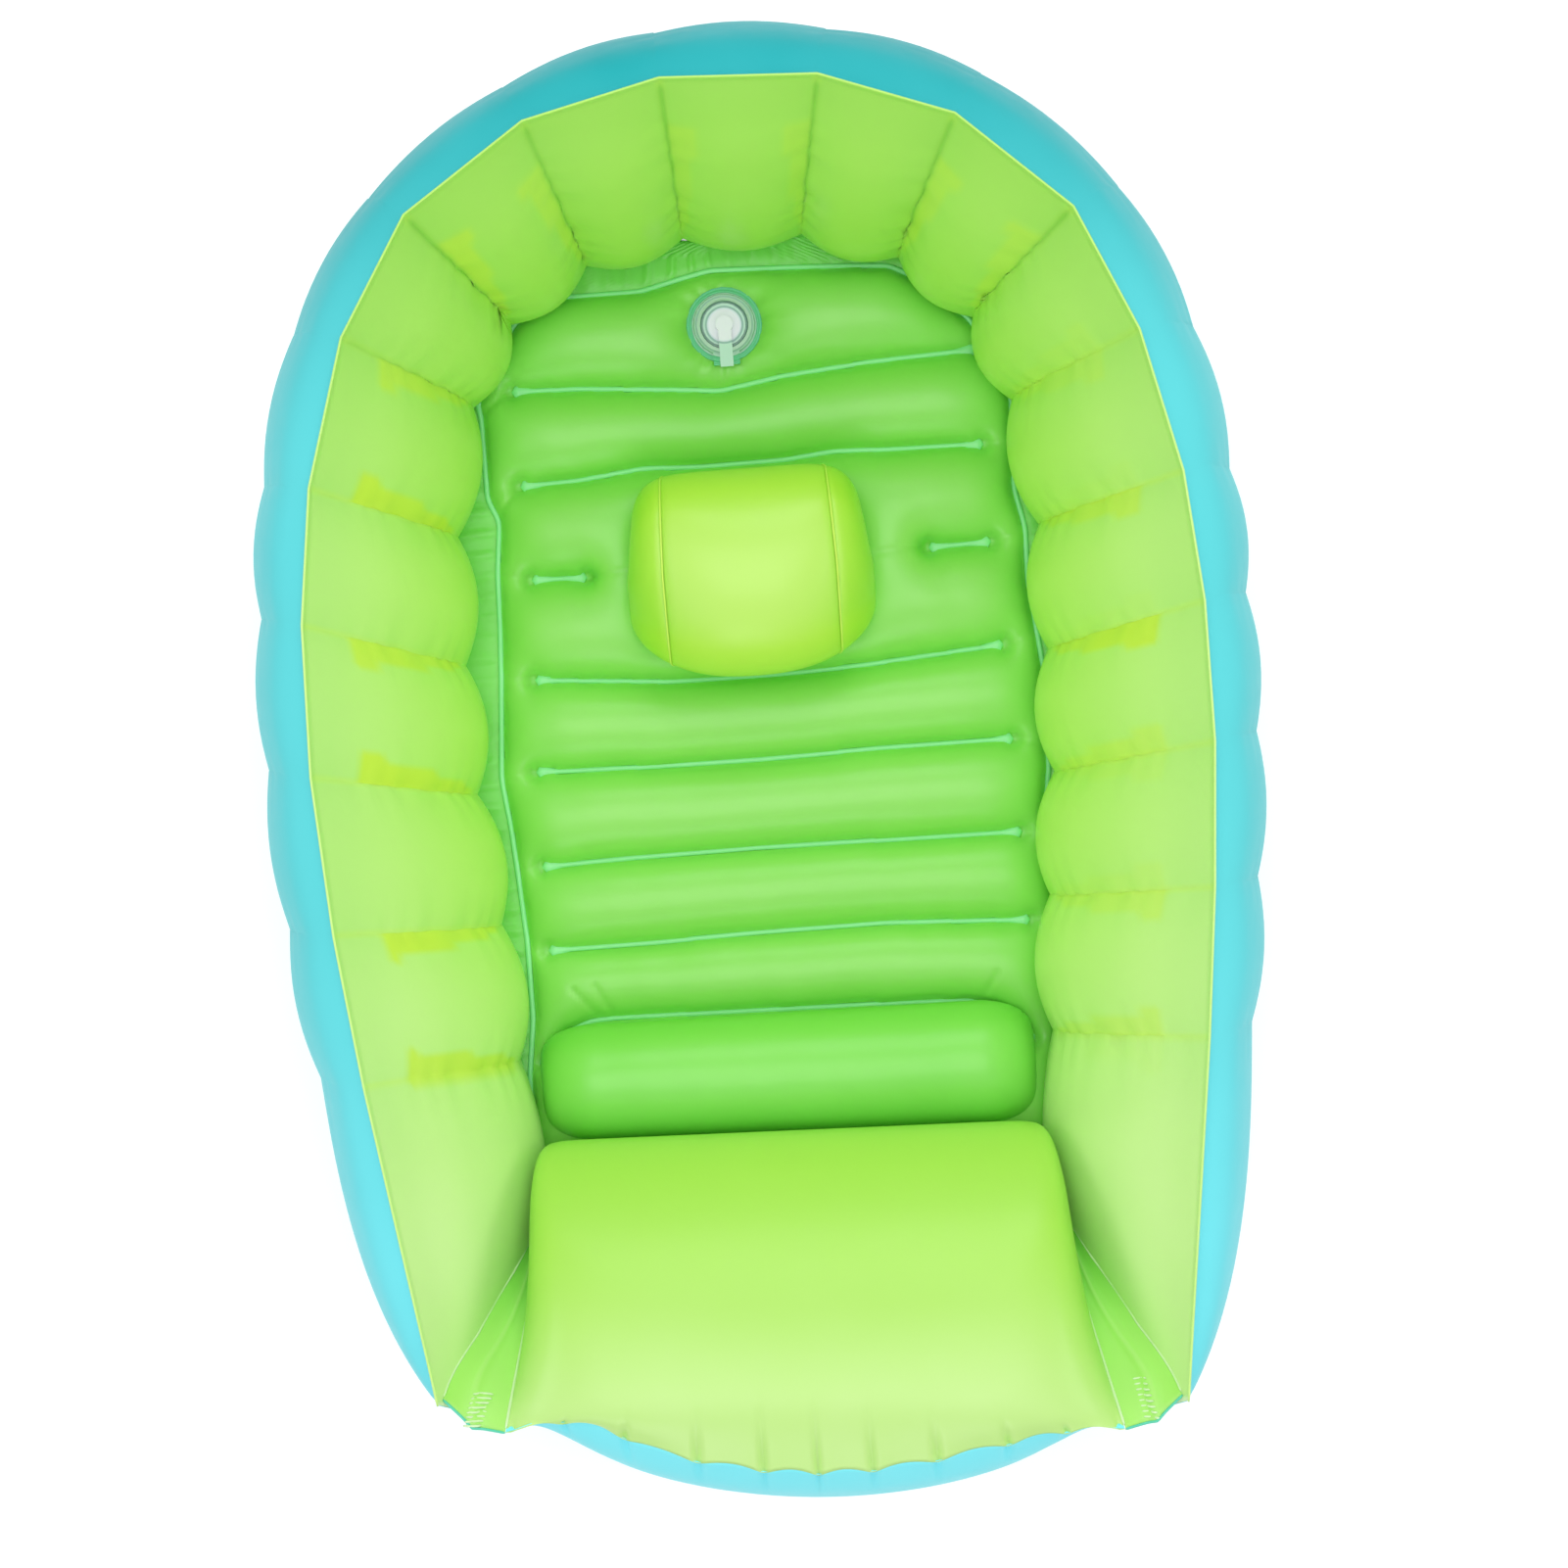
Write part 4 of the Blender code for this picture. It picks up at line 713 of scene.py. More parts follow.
raster_x, raster_y = np.meshgrid(np.arange(RASTER_START[0], RASTER_END[0], CELL),
                                 np.arange(RASTER_START[1], RASTER_END[1], CELL))
spots = np.array([line[k] for line in RIBS for k in (0, -1)], float)
from_spot = np.min([np.hypot(raster_x - sx, raster_y - sy) for sx, sy in spots], axis=0)
held = (~inside(EDGE_WELD, raster_x, raster_y) | (from_spot < HELD_ROUND_SPOT)
        | (distance_to(RIBS + [EDGE_WELD, BOLSTER_LINE], raster_x, raster_y) < HELD_BESIDE_WELD))
under_saddle = ((np.abs(raster_x) / PRINT_HALF_WIDTH) ** PRINT_POWER
                + (np.abs(raster_y - PRINT_Y) / PRINT_HALF_LENGTH) ** PRINT_POWER) < 1
in_drain = np.hypot(raster_x - DRAIN_MM[0], raster_y - DRAIN_MM[1]) < DRAIN_RADIUS * 1000
skin = np.zeros(raster_x.shape)
skin[under_saddle] = skin_at(SADDLE_RISE)
skin[in_drain] = skin_at(DRAIN_RISE)
skin = inflate(~(held | under_saddle | in_drain), skin, CELL)
rise_raster = AIR_SHARE * np.sqrt(2 * np.maximum(skin, 0))
rise_raster = FULL_RISE * (rise_raster / FULL_RISE) ** WELD_EASE


def floor_edges(y):
    """The wall's bottom seam on the left and the right of the floor at each y, less a clearance."""
    end_t = np.linspace(1, 0, END_COLUMNS)
    one_side = len(RIM_CORNERS)
    left, right = (
        np.concatenate([end_lobe(-1, INNER_ROWS, end_t, sign)[-1], creases(-1, INNER_ROWS, at)[-1]])
        for sign, at in ((-1, np.arange(1, one_side)),
                         (1, np.arange(len(RIM) - 2, one_side - 1, -1))))
    return (np.interp(y, left[:, 1], left[:, 0]) + SEAM_CLEARANCE,
            np.interp(y, right[:, 1], right[:, 0]) - SEAM_CLEARANCE,
            min(left[-1, 1], right[-1, 1]) - SEAM_CLEARANCE)


def floor_points(across, along):
    """The floor's plan: x runs between the wall's seams and y from the rear edge to the head. Then
    it is set askew as the wall is."""
    y = np.linspace(FLOOR_REAR, floor_edges(np.zeros(1))[2], along)
    left, right = floor_edges(y)[:2]
    u = np.linspace(0, 1, across)
    x = left[:, None] + (right - left)[:, None] * u
    plan = askew(np.stack([x, np.repeat(y[:, None], across, axis=1)], axis=2))
    return plan[..., 0], plan[..., 1]


def waves(x, y):
    """Five crossing sine waves of unlike lengths, for crinkles that repeat nowhere."""
    turns = ((0.9, 0.31, 0.0), (-0.43, 0.77, 1.9), (0.21, -1.13, 4.1), (1.31, 0.52, 2.7),
             (-0.85, -0.66, 5.5))
    return sum(np.sin(ax * x + ay * y + at) for ax, ay, at in turns) / len(turns)


FLOOR_GRID = (176, 262)
DRAIN_FOLDS, DRAIN_FOLD_START, DRAIN_FOLD_REACH, DRAIN_FOLD_DEPTH = 13, 27, 9, 0.0010
CREASE_WIDTH, CREASE_DEPTH = 1.9, 0.0016
CRINKLE_DEPTH, WELD_CRINKLE_DEPTH = 0.00045, 0.0005
FULL_FOLD_RISE, WELD_CRINKLE_REACH, WELD_FAR = 0.006, 5, 40
HEM_EASE, HEM_WAVE, HEM_FOLD, HEM_TURNS = 5, 0.0010, 0.0020, 0.44
HEAD_START, HEAD_EASE = 250, 50
floor_x, floor_y = floor_points(*FLOOR_GRID)
mm_x, mm_y = floor_x * 1000, floor_y * 1000
rise = read_raster(rise_raster, mm_x, mm_y) / 1000
weld_distance = np.minimum(distance_to(RIBS + [EDGE_WELD, BOLSTER_LINE], mm_x, mm_y), WELD_FAR)
crease_distance = distance_to(CREASES, mm_x, mm_y)
from_drain = np.hypot(mm_x - DRAIN_MM[0], mm_y - DRAIN_MM[1])
round_drain = np.arctan2(mm_y - DRAIN_MM[1], mm_x - DRAIN_MM[0])
folds = (np.exp(-np.maximum(from_drain - DRAIN_FOLD_START, 0) / DRAIN_FOLD_REACH)
         * np.cos(DRAIN_FOLDS * round_drain + 2 * np.sin(3 * round_drain)))
lift = ramp(rise / FULL_FOLD_RISE)
rise += lift * (DRAIN_FOLD_DEPTH * folds * (from_drain > DRAIN_RADIUS * 1000)
                - CREASE_DEPTH * np.exp(-(crease_distance / CREASE_WIDTH) ** 2)
                + CRINKLE_DEPTH * waves(mm_x * 0.16, mm_y * 0.10)
                + WELD_CRINKLE_DEPTH * np.exp(-weld_distance / WELD_CRINKLE_REACH)
                * waves(mm_x * 0.55, mm_y * 0.1))
# The hem outside the edge weld is folded across: along y at the sides and along x at the head.
hem = ~inside(EDGE_WELD, mm_x, mm_y)
at_head = ramp((mm_y - HEAD_START) / HEAD_EASE)
hem_turn = (HEM_TURNS * (mm_y * (1 - at_head) + mm_x * at_head)
            + 1.6 * waves(mm_x * 0.10, mm_y * 0.07))
hem_fold = np.maximum(np.sin(hem_turn), 0) ** 2 * (0.6 + 0.4 * waves(mm_x * 0.05, mm_y * 0.05))
rise += hem * ramp(weld_distance / HEM_EASE) * (
    HEM_WAVE * (0.5 + 0.5 * waves(mm_x * 0.12, mm_y * 0.28)) + HEM_FOLD * hem_fold)
rise = np.maximum(rise, 0)
rise[:, [0, -1]] = rise[[0, -1], :] = 0
floor_top = np.stack([floor_x, floor_y, FLOOR_WELD_HEIGHT + WELD_GAP / 2 + rise], axis=2)
# The floor film is painted a little darker near the welds as shade in the valleys, and paler on the
# high crests as a painted highlight.
floor_look_green = film_look("floor_film", "96EE62", "8EEA58", [
    ("weld", 0.010, 0.0, "88EC58", 0.75), ("rise", 0.013, 0.024, "A8F078", 0.7),
    ("flange", 0.0, 1.0, "7CEE62", 0.7)], crinkle_size=85.0, glow=0.2)
floor_film = film_piece("floor_upper_film", floor_top, floor_look_green,
                        weld=weld_distance / 1000, rise=rise, flange=hem)
drain_centre = (*DRAIN, FLOOR_WELD_HEIGHT)
cut_round_hole(floor_film, drain_centre, 2, DRAIN_HOLE + UPPER_HOLE_PLAY)
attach(floor_film, "tub")
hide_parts("floor_upper_skin")

# The lower film hangs down as a mirror of the upper one. Behind the bolster line it is one flat
# pillow, and round the drain it lies on a flat sump.
LOWER_GRID = (90, 130)
LOWER_SHARE = 0.9
LOWER_LIMIT = 0.0225
PILLOW_FRONT, PILLOW_DROP, PILLOW_EASE = -0.166, 0.020, 0.02
PILLOW_HALF_WIDTH, PILLOW_EASE_HALF_WIDTH = 0.170, 0.172
SUMP_DROP, SUMP_RADIUS, SUMP_RIM, SUMP_EASE = 0.016, 0.024, 0.034, 0.01
lower_x, lower_y = floor_points(*LOWER_GRID)
drop = read_raster(rise_raster, lower_x * 1000, lower_y * 1000) / 1000 * LOWER_SHARE
in_pillow = (lower_y < PILLOW_FRONT) & (np.abs(lower_x) < PILLOW_HALF_WIDTH)
pillow = (PILLOW_DROP * ramp((PILLOW_FRONT - lower_y) / PILLOW_EASE)
          * ramp((lower_y - FLOOR_REAR) / PILLOW_EASE)
          * ramp((PILLOW_EASE_HALF_WIDTH - np.abs(lower_x)) / PILLOW_EASE))
drop = np.minimum(np.where(in_pillow, pillow, drop), LOWER_LIMIT)
from_drain = np.hypot(lower_x - DRAIN[0], lower_y - DRAIN[1])
sump = SUMP_DROP * ramp((SUMP_RIM - from_drain) / SUMP_EASE)
drop = np.where(from_drain < SUMP_RADIUS, SUMP_DROP, np.maximum(drop, sump))
drop[:, [0, -1]] = drop[[0, -1], :] = 0
floor_base = np.stack([lower_x, lower_y, FLOOR_WELD_HEIGHT - WELD_GAP / 2 - drop], axis=2)
lower_film = film_piece("floor_lower_film", floor_base, floor_look_green, flip=True,
                        weld=0.02, rise=0.0, flange=0.0)
cut_round_hole(lower_film, drain_centre, 2, DRAIN_HOLE + LOWER_HOLE_PLAY)
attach(lower_film, "tub")
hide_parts("floor_lower_skin")

# The floor's weld lines: flattened beads that the welding bar leaves, paler than the film. Each rib
# has a round spot at both ends, and the bead round the edge runs under the wall's lobes.
BEAD_HALF_WIDTH = 0.0019
BEAD_HEIGHT = 0.0016
BEAD_SIDES = 9
BEAD_PITCH = 0.0025
BEAD_BELOW = 0.2
BEAD_LIFT = 0.0006
BEAD_BASE = FLOOR_WELD_HEIGHT + WELD_GAP / 2 + FILM + BEAD_LIFT
SPOT_HALF_WIDTH = 0.0054
SPOT_LENGTH = 0.016


def bead(line, spot=0.0):
    """A flat bead along a line of points in millimetres. With a spot, its half width grows at
    both ends to the spot's as a half cosine. It closes as a quarter circle. Its section is
    (w cos a, h sin a), with its underside flattened to a fifth."""
    path = np.array(line, float) / 1000
    along = np.concatenate([[0], np.cumsum(np.linalg.norm(np.diff(path, axis=0), axis=1))])
    s = np.linspace(0, 1, max(int(along[-1] / BEAD_PITCH), 8) + 1) * along[-1]
    fine = np.stack([np.interp(s, along, path[:, k]) for k in (0, 1)], axis=1)
    for _ in range(3):
        fine[1:-1] = (fine[:-2] + 2 * fine[1:-1] + fine[2:]) / 4
    ahead = unit(np.gradient(fine, axis=0))
    square = np.stack([-ahead[:, 1], ahead[:, 0]], axis=1)
    to_end = np.minimum(s, along[-1] - s)
    width = np.full(len(s), BEAD_HALF_WIDTH)
    if spot:
        grown = 0.5 + 0.5 * np.cos(math.pi * ramp(to_end / SPOT_LENGTH))
        width = BEAD_HALF_WIDTH + (spot - BEAD_HALF_WIDTH) * grown
    cap = max(spot, BEAD_HALF_WIDTH)
    width = width * np.sqrt(np.clip(1 - (1 - ramp(to_end / cap)) ** 2, 0.0004, 1))
    angle = np.linspace(0, 2 * math.pi, BEAD_SIDES, endpoint=False)
    lift = np.where(np.sin(angle) >= 0, np.sin(angle), BEAD_BELOW * np.sin(angle))
    ring = fine[:, None, :] + square[:, None, :] * (width[:, None] * np.cos(angle))[..., None]
    tall = BEAD_HEIGHT * ramp(width / BEAD_HALF_WIDTH)
    z = BEAD_BASE + BEAD_BELOW * BEAD_HEIGHT + tall[:, None] * lift
    return np.concatenate([ring, z[..., None]], axis=2)


bead_look = film_look("weld_bead", "9CF2A6", "8CEE9C", [], **WELD_GRAIN)
beads = [bead(line, SPOT_HALF_WIDTH) for line in RIBS]
beads += [bead(line) for line in (EDGE_WELD, BOLSTER_LINE)]
rib_beads = tubes_piece("floor_weld_beads", beads, bead_look)
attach(rib_beads, "tub")

# Saddle cushion between the baby's legs: three panels of yellow-green film over one base welded to
# the floor. It is flat and wide towards the feet and round towards the seat, and the panels meet in
# two welded seams that pull the film in a little.
SADDLE_Y = 0.1332
SADDLE_HALF_WIDTH = 0.084
SADDLE_HALF_LENGTH = 0.070
SADDLE_HEIGHT = 0.083
SADDLE_SEAM = 0.058 / SADDLE_HALF_WIDTH
SADDLE_FLOOR_RISE = 0.016
SADDLE_BASE = FLOOR_WELD_HEIGHT + SADDLE_FLOOR_RISE + WELD_GAP / 2 + FILM + WELD_GAP
SADDLE_FOOT_ANGLE = math.radians(34)
SADDLE_FOOT_POWERS, SADDLE_SEAT_POWERS = (6.5, 2.6), (2.4, 2)
SADDLE_WAIST, SADDLE_TAPER = 0.14, 0.06
SADDLE_END_SHARE, END_HEIGHT_LEAST = 0.30, 0.02
SADDLE_STEPS, SIDE_COLUMNS, MIDDLE_COLUMNS = 72, 26, 48
SADDLE_SEAM_ENDS = 4
SADDLE_PINCH, SADDLE_PINCH_WIDTH = 0.0018, 0.028
SADDLE_SEAM_RADIUS, SADDLE_SEAM_LIFT = 0.0007, 0.0005


def grow(least, value):
    """Runs from the least share to 1 as the value runs from 0 to 1."""
    return least + (1 - least) * value


def saddle_points(shares):
    """Share a of the half width and angle v round the roll give x = a W w,
    y = L (0.3 + 0.7 r) cos v and z = H u (0.02 + 0.98 r). There r = (1 - |a|^p)^(1/q), with
    p, q = 6.5, 2.6 on the foot side and 2.4, 2 on the seat side, u = (sin v + low) / (1 + low),
    and w draws the width in below the middle and at the ends of the foot side."""
    v = np.linspace(-SADDLE_FOOT_ANGLE, math.pi + SADDLE_FOOT_ANGLE, SADDLE_STEPS)[:, None]
    a = np.asarray(shares)[None, :]
    side = ramp(0.5 + 0.8 * np.cos(v))
    foot_end, seat_end = ((1 - np.abs(a) ** p) ** (1 / q)
                          for p, q in (SADDLE_FOOT_POWERS, SADDLE_SEAT_POWERS))
    r = foot_end * side + seat_end * (1 - side)
    low = math.sin(SADDLE_FOOT_ANGLE)
    u = (np.sin(v) + low) / (1 + low)
    waist = 1 - SADDLE_WAIST * ramp(1 - 2 * u) * r
    x = a * SADDLE_HALF_WIDTH * waist * (1 - SADDLE_TAPER * ramp(np.cos(v)) * np.abs(a))
    y = SADDLE_Y + SADDLE_HALF_LENGTH * np.cos(v) * grow(SADDLE_END_SHARE, r)
    z = SADDLE_BASE + SADDLE_HEIGHT * u * grow(END_HEIGHT_LEAST, r)
    points = np.stack([x + 0 * v, y, z], axis=2)
    pinch = np.exp(-((np.abs(a) - SADDLE_SEAM) / SADDLE_PINCH_WIDTH) ** 2) * u
    points[..., 2] -= SADDLE_PINCH * pinch
    return points, np.abs(a) + 0 * v, u + 0 * a


# The saddle is painted paler on top as a painted highlight on its crown.
saddle_look = film_look("saddle_film", "C2F056", "B6EA42", [
    ("up", 0.75, 1.0, "C6F07C", 0.75), ("side", 0.62, 0.80, "B6F03C", 0.55)])
slim = 0.5 * WELD_GAP / SADDLE_HALF_WIDTH
spread = np.sin(np.linspace(0, math.pi / 2, SIDE_COLUMNS))
for name, shares in (
        ("left", -SADDLE_SEAM - slim - (1 - SADDLE_SEAM - slim) * spread[::-1]),
        ("middle", np.linspace(-SADDLE_SEAM + slim, SADDLE_SEAM - slim, MIDDLE_COLUMNS)),
        ("right", SADDLE_SEAM + slim + (1 - SADDLE_SEAM - slim) * spread)):
    panel_points, side_share, up_share = saddle_points(shares)
    panel = film_piece(f"saddle_{name}_film", panel_points, saddle_look, up=up_share,
                       side=side_share)
    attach(panel, "tub")
    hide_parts(f"saddle_{name}_panel")

seam_look = film_look("saddle_seam", "D8F66A", "CEF25C", [], **WELD_GRAIN)
seam_lines = saddle_points([-SADDLE_SEAM, SADDLE_SEAM])[0] + (0, 0, SADDLE_SEAM_LIFT)
seam_lines = seam_lines[SADDLE_SEAM_ENDS:-SADDLE_SEAM_ENDS]
saddle_seams = tubes_piece("saddle_seams", [
    tube(seam_lines[:, k], SADDLE_SEAM_RADIUS, up=(1.0, 0.0, 0.0)) for k in (0, 1)], seam_look)
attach(saddle_seams, "tub")

# Seat bolster: a green roll with round ends across the seat, welded to the floor film. Its front
# weld is a pale line that curves back round both ends.
BOLSTER_HALF_WIDTH = 0.169
BOLSTER_MIDDLE_Y = -0.207
BOLSTER_DEPTH = 0.082
BOLSTER_HEIGHT = 0.060
BOLSTER_CORNER = 0.040
BOLSTER_BASE = FLOOR_WELD_HEIGHT + WELD_GAP / 2 + FILM + WELD_GAP
BOLSTER_FOOT_ANGLE = math.radians(20)
BOLSTER_GRID = (150, 60)
BOLSTER_END_POWER, BOLSTER_END_SHARE = 0.75, 0.35
BOLSTER_CRINKLE, BOLSTER_WAVES = 0.0006, (130, 90)
BODY_SHARE = 0.62
run = np.linspace(-1, 1, BOLSTER_GRID[0])[None, :]
turn = np.linspace(-BOLSTER_FOOT_ANGLE, math.pi + BOLSTER_FOOT_ANGLE, BOLSTER_GRID[1])[:, None]
# Along the roll the body is straight, and past it a quarter turn closes the end: its depth and
# height fall off as the cosine to the power 0.75.
end_turn = ramp((np.abs(run) - BODY_SHARE) / (1 - BODY_SHARE)) * math.pi / 2
straight = BOLSTER_HALF_WIDTH - BOLSTER_CORNER
bolster_x = np.sign(run) * (straight * ramp(np.abs(run) / BODY_SHARE)
                            + BOLSTER_CORNER * np.sin(end_turn))
roundness = np.cos(end_turn) ** BOLSTER_END_POWER
bolster_low = math.sin(BOLSTER_FOOT_ANGLE)
bolster_up = (np.sin(turn) + bolster_low) / (1 + bolster_low)
bolster_points = np.stack([
    bolster_x + 0 * turn,
    BOLSTER_MIDDLE_Y + BOLSTER_DEPTH / 2 * np.cos(turn) * grow(BOLSTER_END_SHARE, roundness),
    BOLSTER_BASE + BOLSTER_HEIGHT * bolster_up * grow(END_HEIGHT_LEAST, roundness)], axis=2)
crinkle = waves(*(bolster_points[..., k] * BOLSTER_WAVES[k] for k in (0, 1)))
bolster_points[..., 2] += BOLSTER_CRINKLE * crinkle * bolster_up
bolster_points = askew(bolster_points)
# The roll is painted paler on top as a painted highlight.
bolster_look = film_look("bolster_film", "86E455", "78DD48", [("up", 0.6, 1.0, "97EA6C", 0.6)])
bolster = film_piece("seat_bolster_film", bolster_points, bolster_look, up=bolster_up)
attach(bolster, "tub")
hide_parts("seat_bolster_skin")

# Backrest: a wedge of air between a yellow-green front film and a blue back film. The seam along
# its top is gathered in about ten puckers, and short pleats run down from between them.
BACK_FRONT = (0.163, -0.2632, 0.024)
BACK_TOP = (0.197, -0.424, 0.205)
BACK_BOW = 0.029
BACK_OVERHANG = 0.021
BACK_CREST_RISE = 0.010
BACK_BULGE = 0.0322
BACK_CHEEK = 0.006
BACK_REAR_BOW = 0.045
BACK_PUCKERS = 10
PUCKER_DEPTH = 0.004
PUCKER_WANDER, PUCKER_WANDER_TURNS = 0.12, 7
PUCKER_REACH = 0.045
PLEAT_WIDTH = 0.06
PLEAT_DEPTH = 0.0042
PLEAT_LENGTH, PLEAT_LENGTH_SPREAD, PLEAT_LENGTH_TURNS = 0.045, 0.05, 12.9
PLEAT_SEAM_REACH, PLEAT_SEAM_SHARE = 0.008, 0.25
SEAM_DIP = 0.0105
SEAM_DIP_X = -0.150
SEAM_DIP_WIDTH = 0.036
SEAM_DIP_REACH = 0.09
BACK_COLUMNS, BACK_CROWDING, BACK_STEPS = 321, 1.35, 12
REAR_POWER = 8
# Columns from -1 to 1, closer together towards both side seams
back_a = np.linspace(-1, 1, BACK_COLUMNS)
back_a = np.sign(back_a) * (1 - (1 - np.abs(back_a)) ** BACK_CROWDING)
back_front, back_top = np.array(BACK_FRONT), np.array(BACK_TOP)
front_y, front_z, top_z = BACK_FRONT[1], BACK_FRONT[2], BACK_TOP[2]
top_y = BACK_TOP[1] - BACK_BOW
rear_y = top_y - BACK_BULGE
reach = front_y - top_y
over = front_y + BACK_OVERHANG
crest = top_z + BACK_CREST_RISE
foot = FILM + WELD_GAP / 2
FRONT_PROFILE = np.array([
    (front_y, front_z), (front_y + 0.62 * BACK_OVERHANG, 0.27 * crest),
    (over, 0.46 * crest), (over - 0.09 * reach, 0.62 * crest), (over - 0.28 * reach, 0.79 * crest),
    (over - 0.50 * reach, 0.91 * crest), (over - 0.72 * reach, 0.98 * crest),
    (over - 0.90 * reach, crest), (top_y, top_z)])
REAR_PROFILE = np.array([
    (front_y, front_z), (front_y - 0.08 * reach, 0.20 * front_z),
    (front_y - 0.30 * reach, foot), (front_y - 0.60 * reach, foot),
    (top_y + 0.05 * reach, foot), (top_y + 0.70 * (rear_y - top_y), 0.15 * top_z),
    (rear_y, 0.46 * top_z), (top_y + 0.62 * (rear_y - top_y), 0.78 * top_z),
    (top_y, top_z)])
# How square each row of the front is at its ends, and how far it swells past the side seam
FRONT_POWERS = np.array([14, 18, 34, 36, 24, 12, 8, 6, 5])[:, None]
FRONT_CHEEKS = np.array([0, 0.4, 1.0, 0.9, 0.4, 0.1, 0, 0, 0])[:, None]


def backrest_points(profile, powers, cheeks, side):
    """Each column a has the side seam's height and depth, moved towards the middle's profile by
    the root of 1 - |a|^power. The top seam bows by (1 - a^2)^2 and is drawn in at each pucker,
    and dips once. Short pleats of uneven length run down from the seam between the puckers."""
    j = np.arange(len(profile))[:, None] / (len(profile) - 1)
    edge = back_front + (back_top - back_front) * j
    share = np.sqrt(np.maximum(1 - np.abs(back_a)[None, :] ** powers, 0))
    bow = np.where(j == 1, (1 - back_a**2) ** 2, share)
    y = edge[:, 1:2] + (profile[:, 0:1] - edge[:, 1:2]) * bow
    z = edge[:, 2:3] + (profile[:, 1:2] - edge[:, 2:3]) * share
    if side < 0:
        behind = (profile[:, 0:1] < profile[-1, 0]) & (j < 1)
        y = y + behind * BACK_REAR_BOW * back_a**2 * share
    z = np.where(j == 1, back_top[2], z)
    x = edge[:, 0:1] * back_a + np.sign(back_a) * BACK_CHEEK * cheeks * share * back_a**2
    points = smooth_rows(np.stack([x, y, z + side * WELD_GAP / 2], axis=2), BACK_STEPS)
    share = share[-1:]
    down = np.linspace(1, 0, len(points))[:, None]
    phase = BACK_PUCKERS * (back_a + 1) / 2
    shifted = phase + PUCKER_WANDER * np.sin(PUCKER_WANDER_TURNS * back_a)
    waviness = np.abs(np.sin(math.pi * shifted)) * share
    points[..., 1] += PUCKER_DEPTH * waviness * np.exp(-down / PUCKER_REACH)
    dip = SEAM_DIP * np.exp(-((points[..., 0] - SEAM_DIP_X) / SEAM_DIP_WIDTH) ** 2)
    points[..., 1] += dip * np.exp(-down / SEAM_DIP_REACH) * share
    nearest = np.round(shifted)
    pleat = np.exp(-((shifted - nearest) / PLEAT_WIDTH) ** 2) * share
    length = PLEAT_LENGTH + PLEAT_LENGTH_SPREAD * np.abs(np.sin(PLEAT_LENGTH_TURNS * nearest))
    at_seam = np.clip(down / PLEAT_SEAM_REACH, PLEAT_SEAM_SHARE, 1)
    pull = PLEAT_DEPTH * pleat * np.exp(-(down / length) ** 2) * at_seam
    points += surface_normals(points) * (side * pull)[..., None]
    points[..., 2] = np.maximum(points[..., 2], foot)
    return askew(points), down + 0 * share


# The backrest is painted paler near its top seam as painted light on its crown, and greener at its
# foot as painted shade.
back_look = film_look("backrest_film", "B0EA5A", "A8E64E", [
    ("down", 0.50, 0.10, "CEF29C", 0.85), ("down", 0.60, 0.95, "9CE664", 0.7)])
front_points, front_down = backrest_points(FRONT_PROFILE, FRONT_POWERS, FRONT_CHEEKS, 1)
back_front_film = film_piece("backrest_front_film", front_points, back_look, down=front_down)
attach(back_front_film, "tub")
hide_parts("backrest_upper_skin")
rear_points = backrest_points(REAR_PROFILE, REAR_POWER, 0, -1)[0]
rear_look = film_look("backrest_rear_film", "88F6FF", "7EF0FD", [], **BLUE_SHEEN)
BACK_VALVE = (0.0394, -0.47989, 0.05535)
fit_to_flange(rear_points, BACK_VALVE, 1)
back_rear_film = film_piece("backrest_rear_film", rear_points, rear_look, flip=True)
cut_round_hole(back_rear_film, BACK_VALVE, 1, VALVE_HOLE)
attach(back_rear_film, "tub")
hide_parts("backrest_outer_skin")

# Corner gussets: two green sheets that close the gaps between the wall's ends and the backrest.
# Each hangs in a slack channel along its middle, and carries a patch of short raised bars.
GUSSET_STEPS, GUSSET_COLUMNS = 60, 25
GUSSET_START = 0.012
GUSSET_SLACK = 0.005
GUSSET_CLEARANCE = 0.0005
GUSSET_FOLD, GUSSET_FOLD_WIDTH = 0.0030, 0.10
FOLD_WANDER, FOLD_WANDER_TURNS = 0.12, 9
GUSSET_FLAP = {"left": 0.0092, "right": 0.0072}
FLAP_POWER, FLAP_PEAK = 14, 0.55
# Column, first row and radius of each of a gusset's two side welds, then their lift
SIDE_WELDS = ((0, 4, 0.0010), (-1, 8, 0.0007))
SIDE_WELD_LIFT = 0.0007


def wall_end_place(t, height, sign):
    """Where the rear lobe's inner film has this height, t along the lobe."""
    found = []
    for one_t, one_height in zip(t, height):
        column = end_lobe(-1, INNER_ROWS, [one_t], sign)[:, 0]
        order = np.argsort(column[:, 2])
        found.append([np.interp(one_height, column[order, 2], column[order, k]) for k in range(2)])
    return np.array(found)


# The gusset is painted darker green low in the corner as painted shade, and paler along the raised
# fold as a painted highlight.
gusset_look = film_look("gusset_film", "AEF070", "A2EC62", [
    ("low", 0.75, 0.35, "74DE44", 0.85), ("fold", 0.6, 1.0, "C4F690", 0.5)])
edge_look = film_look("gusset_weld", "DDF8C4", "D2F4B4", [], **WELD_GRAIN)
free_edge_look = film_look("gusset_free_edge", "58D2B0", "4CCBA6", [], **WELD_GRAIN)
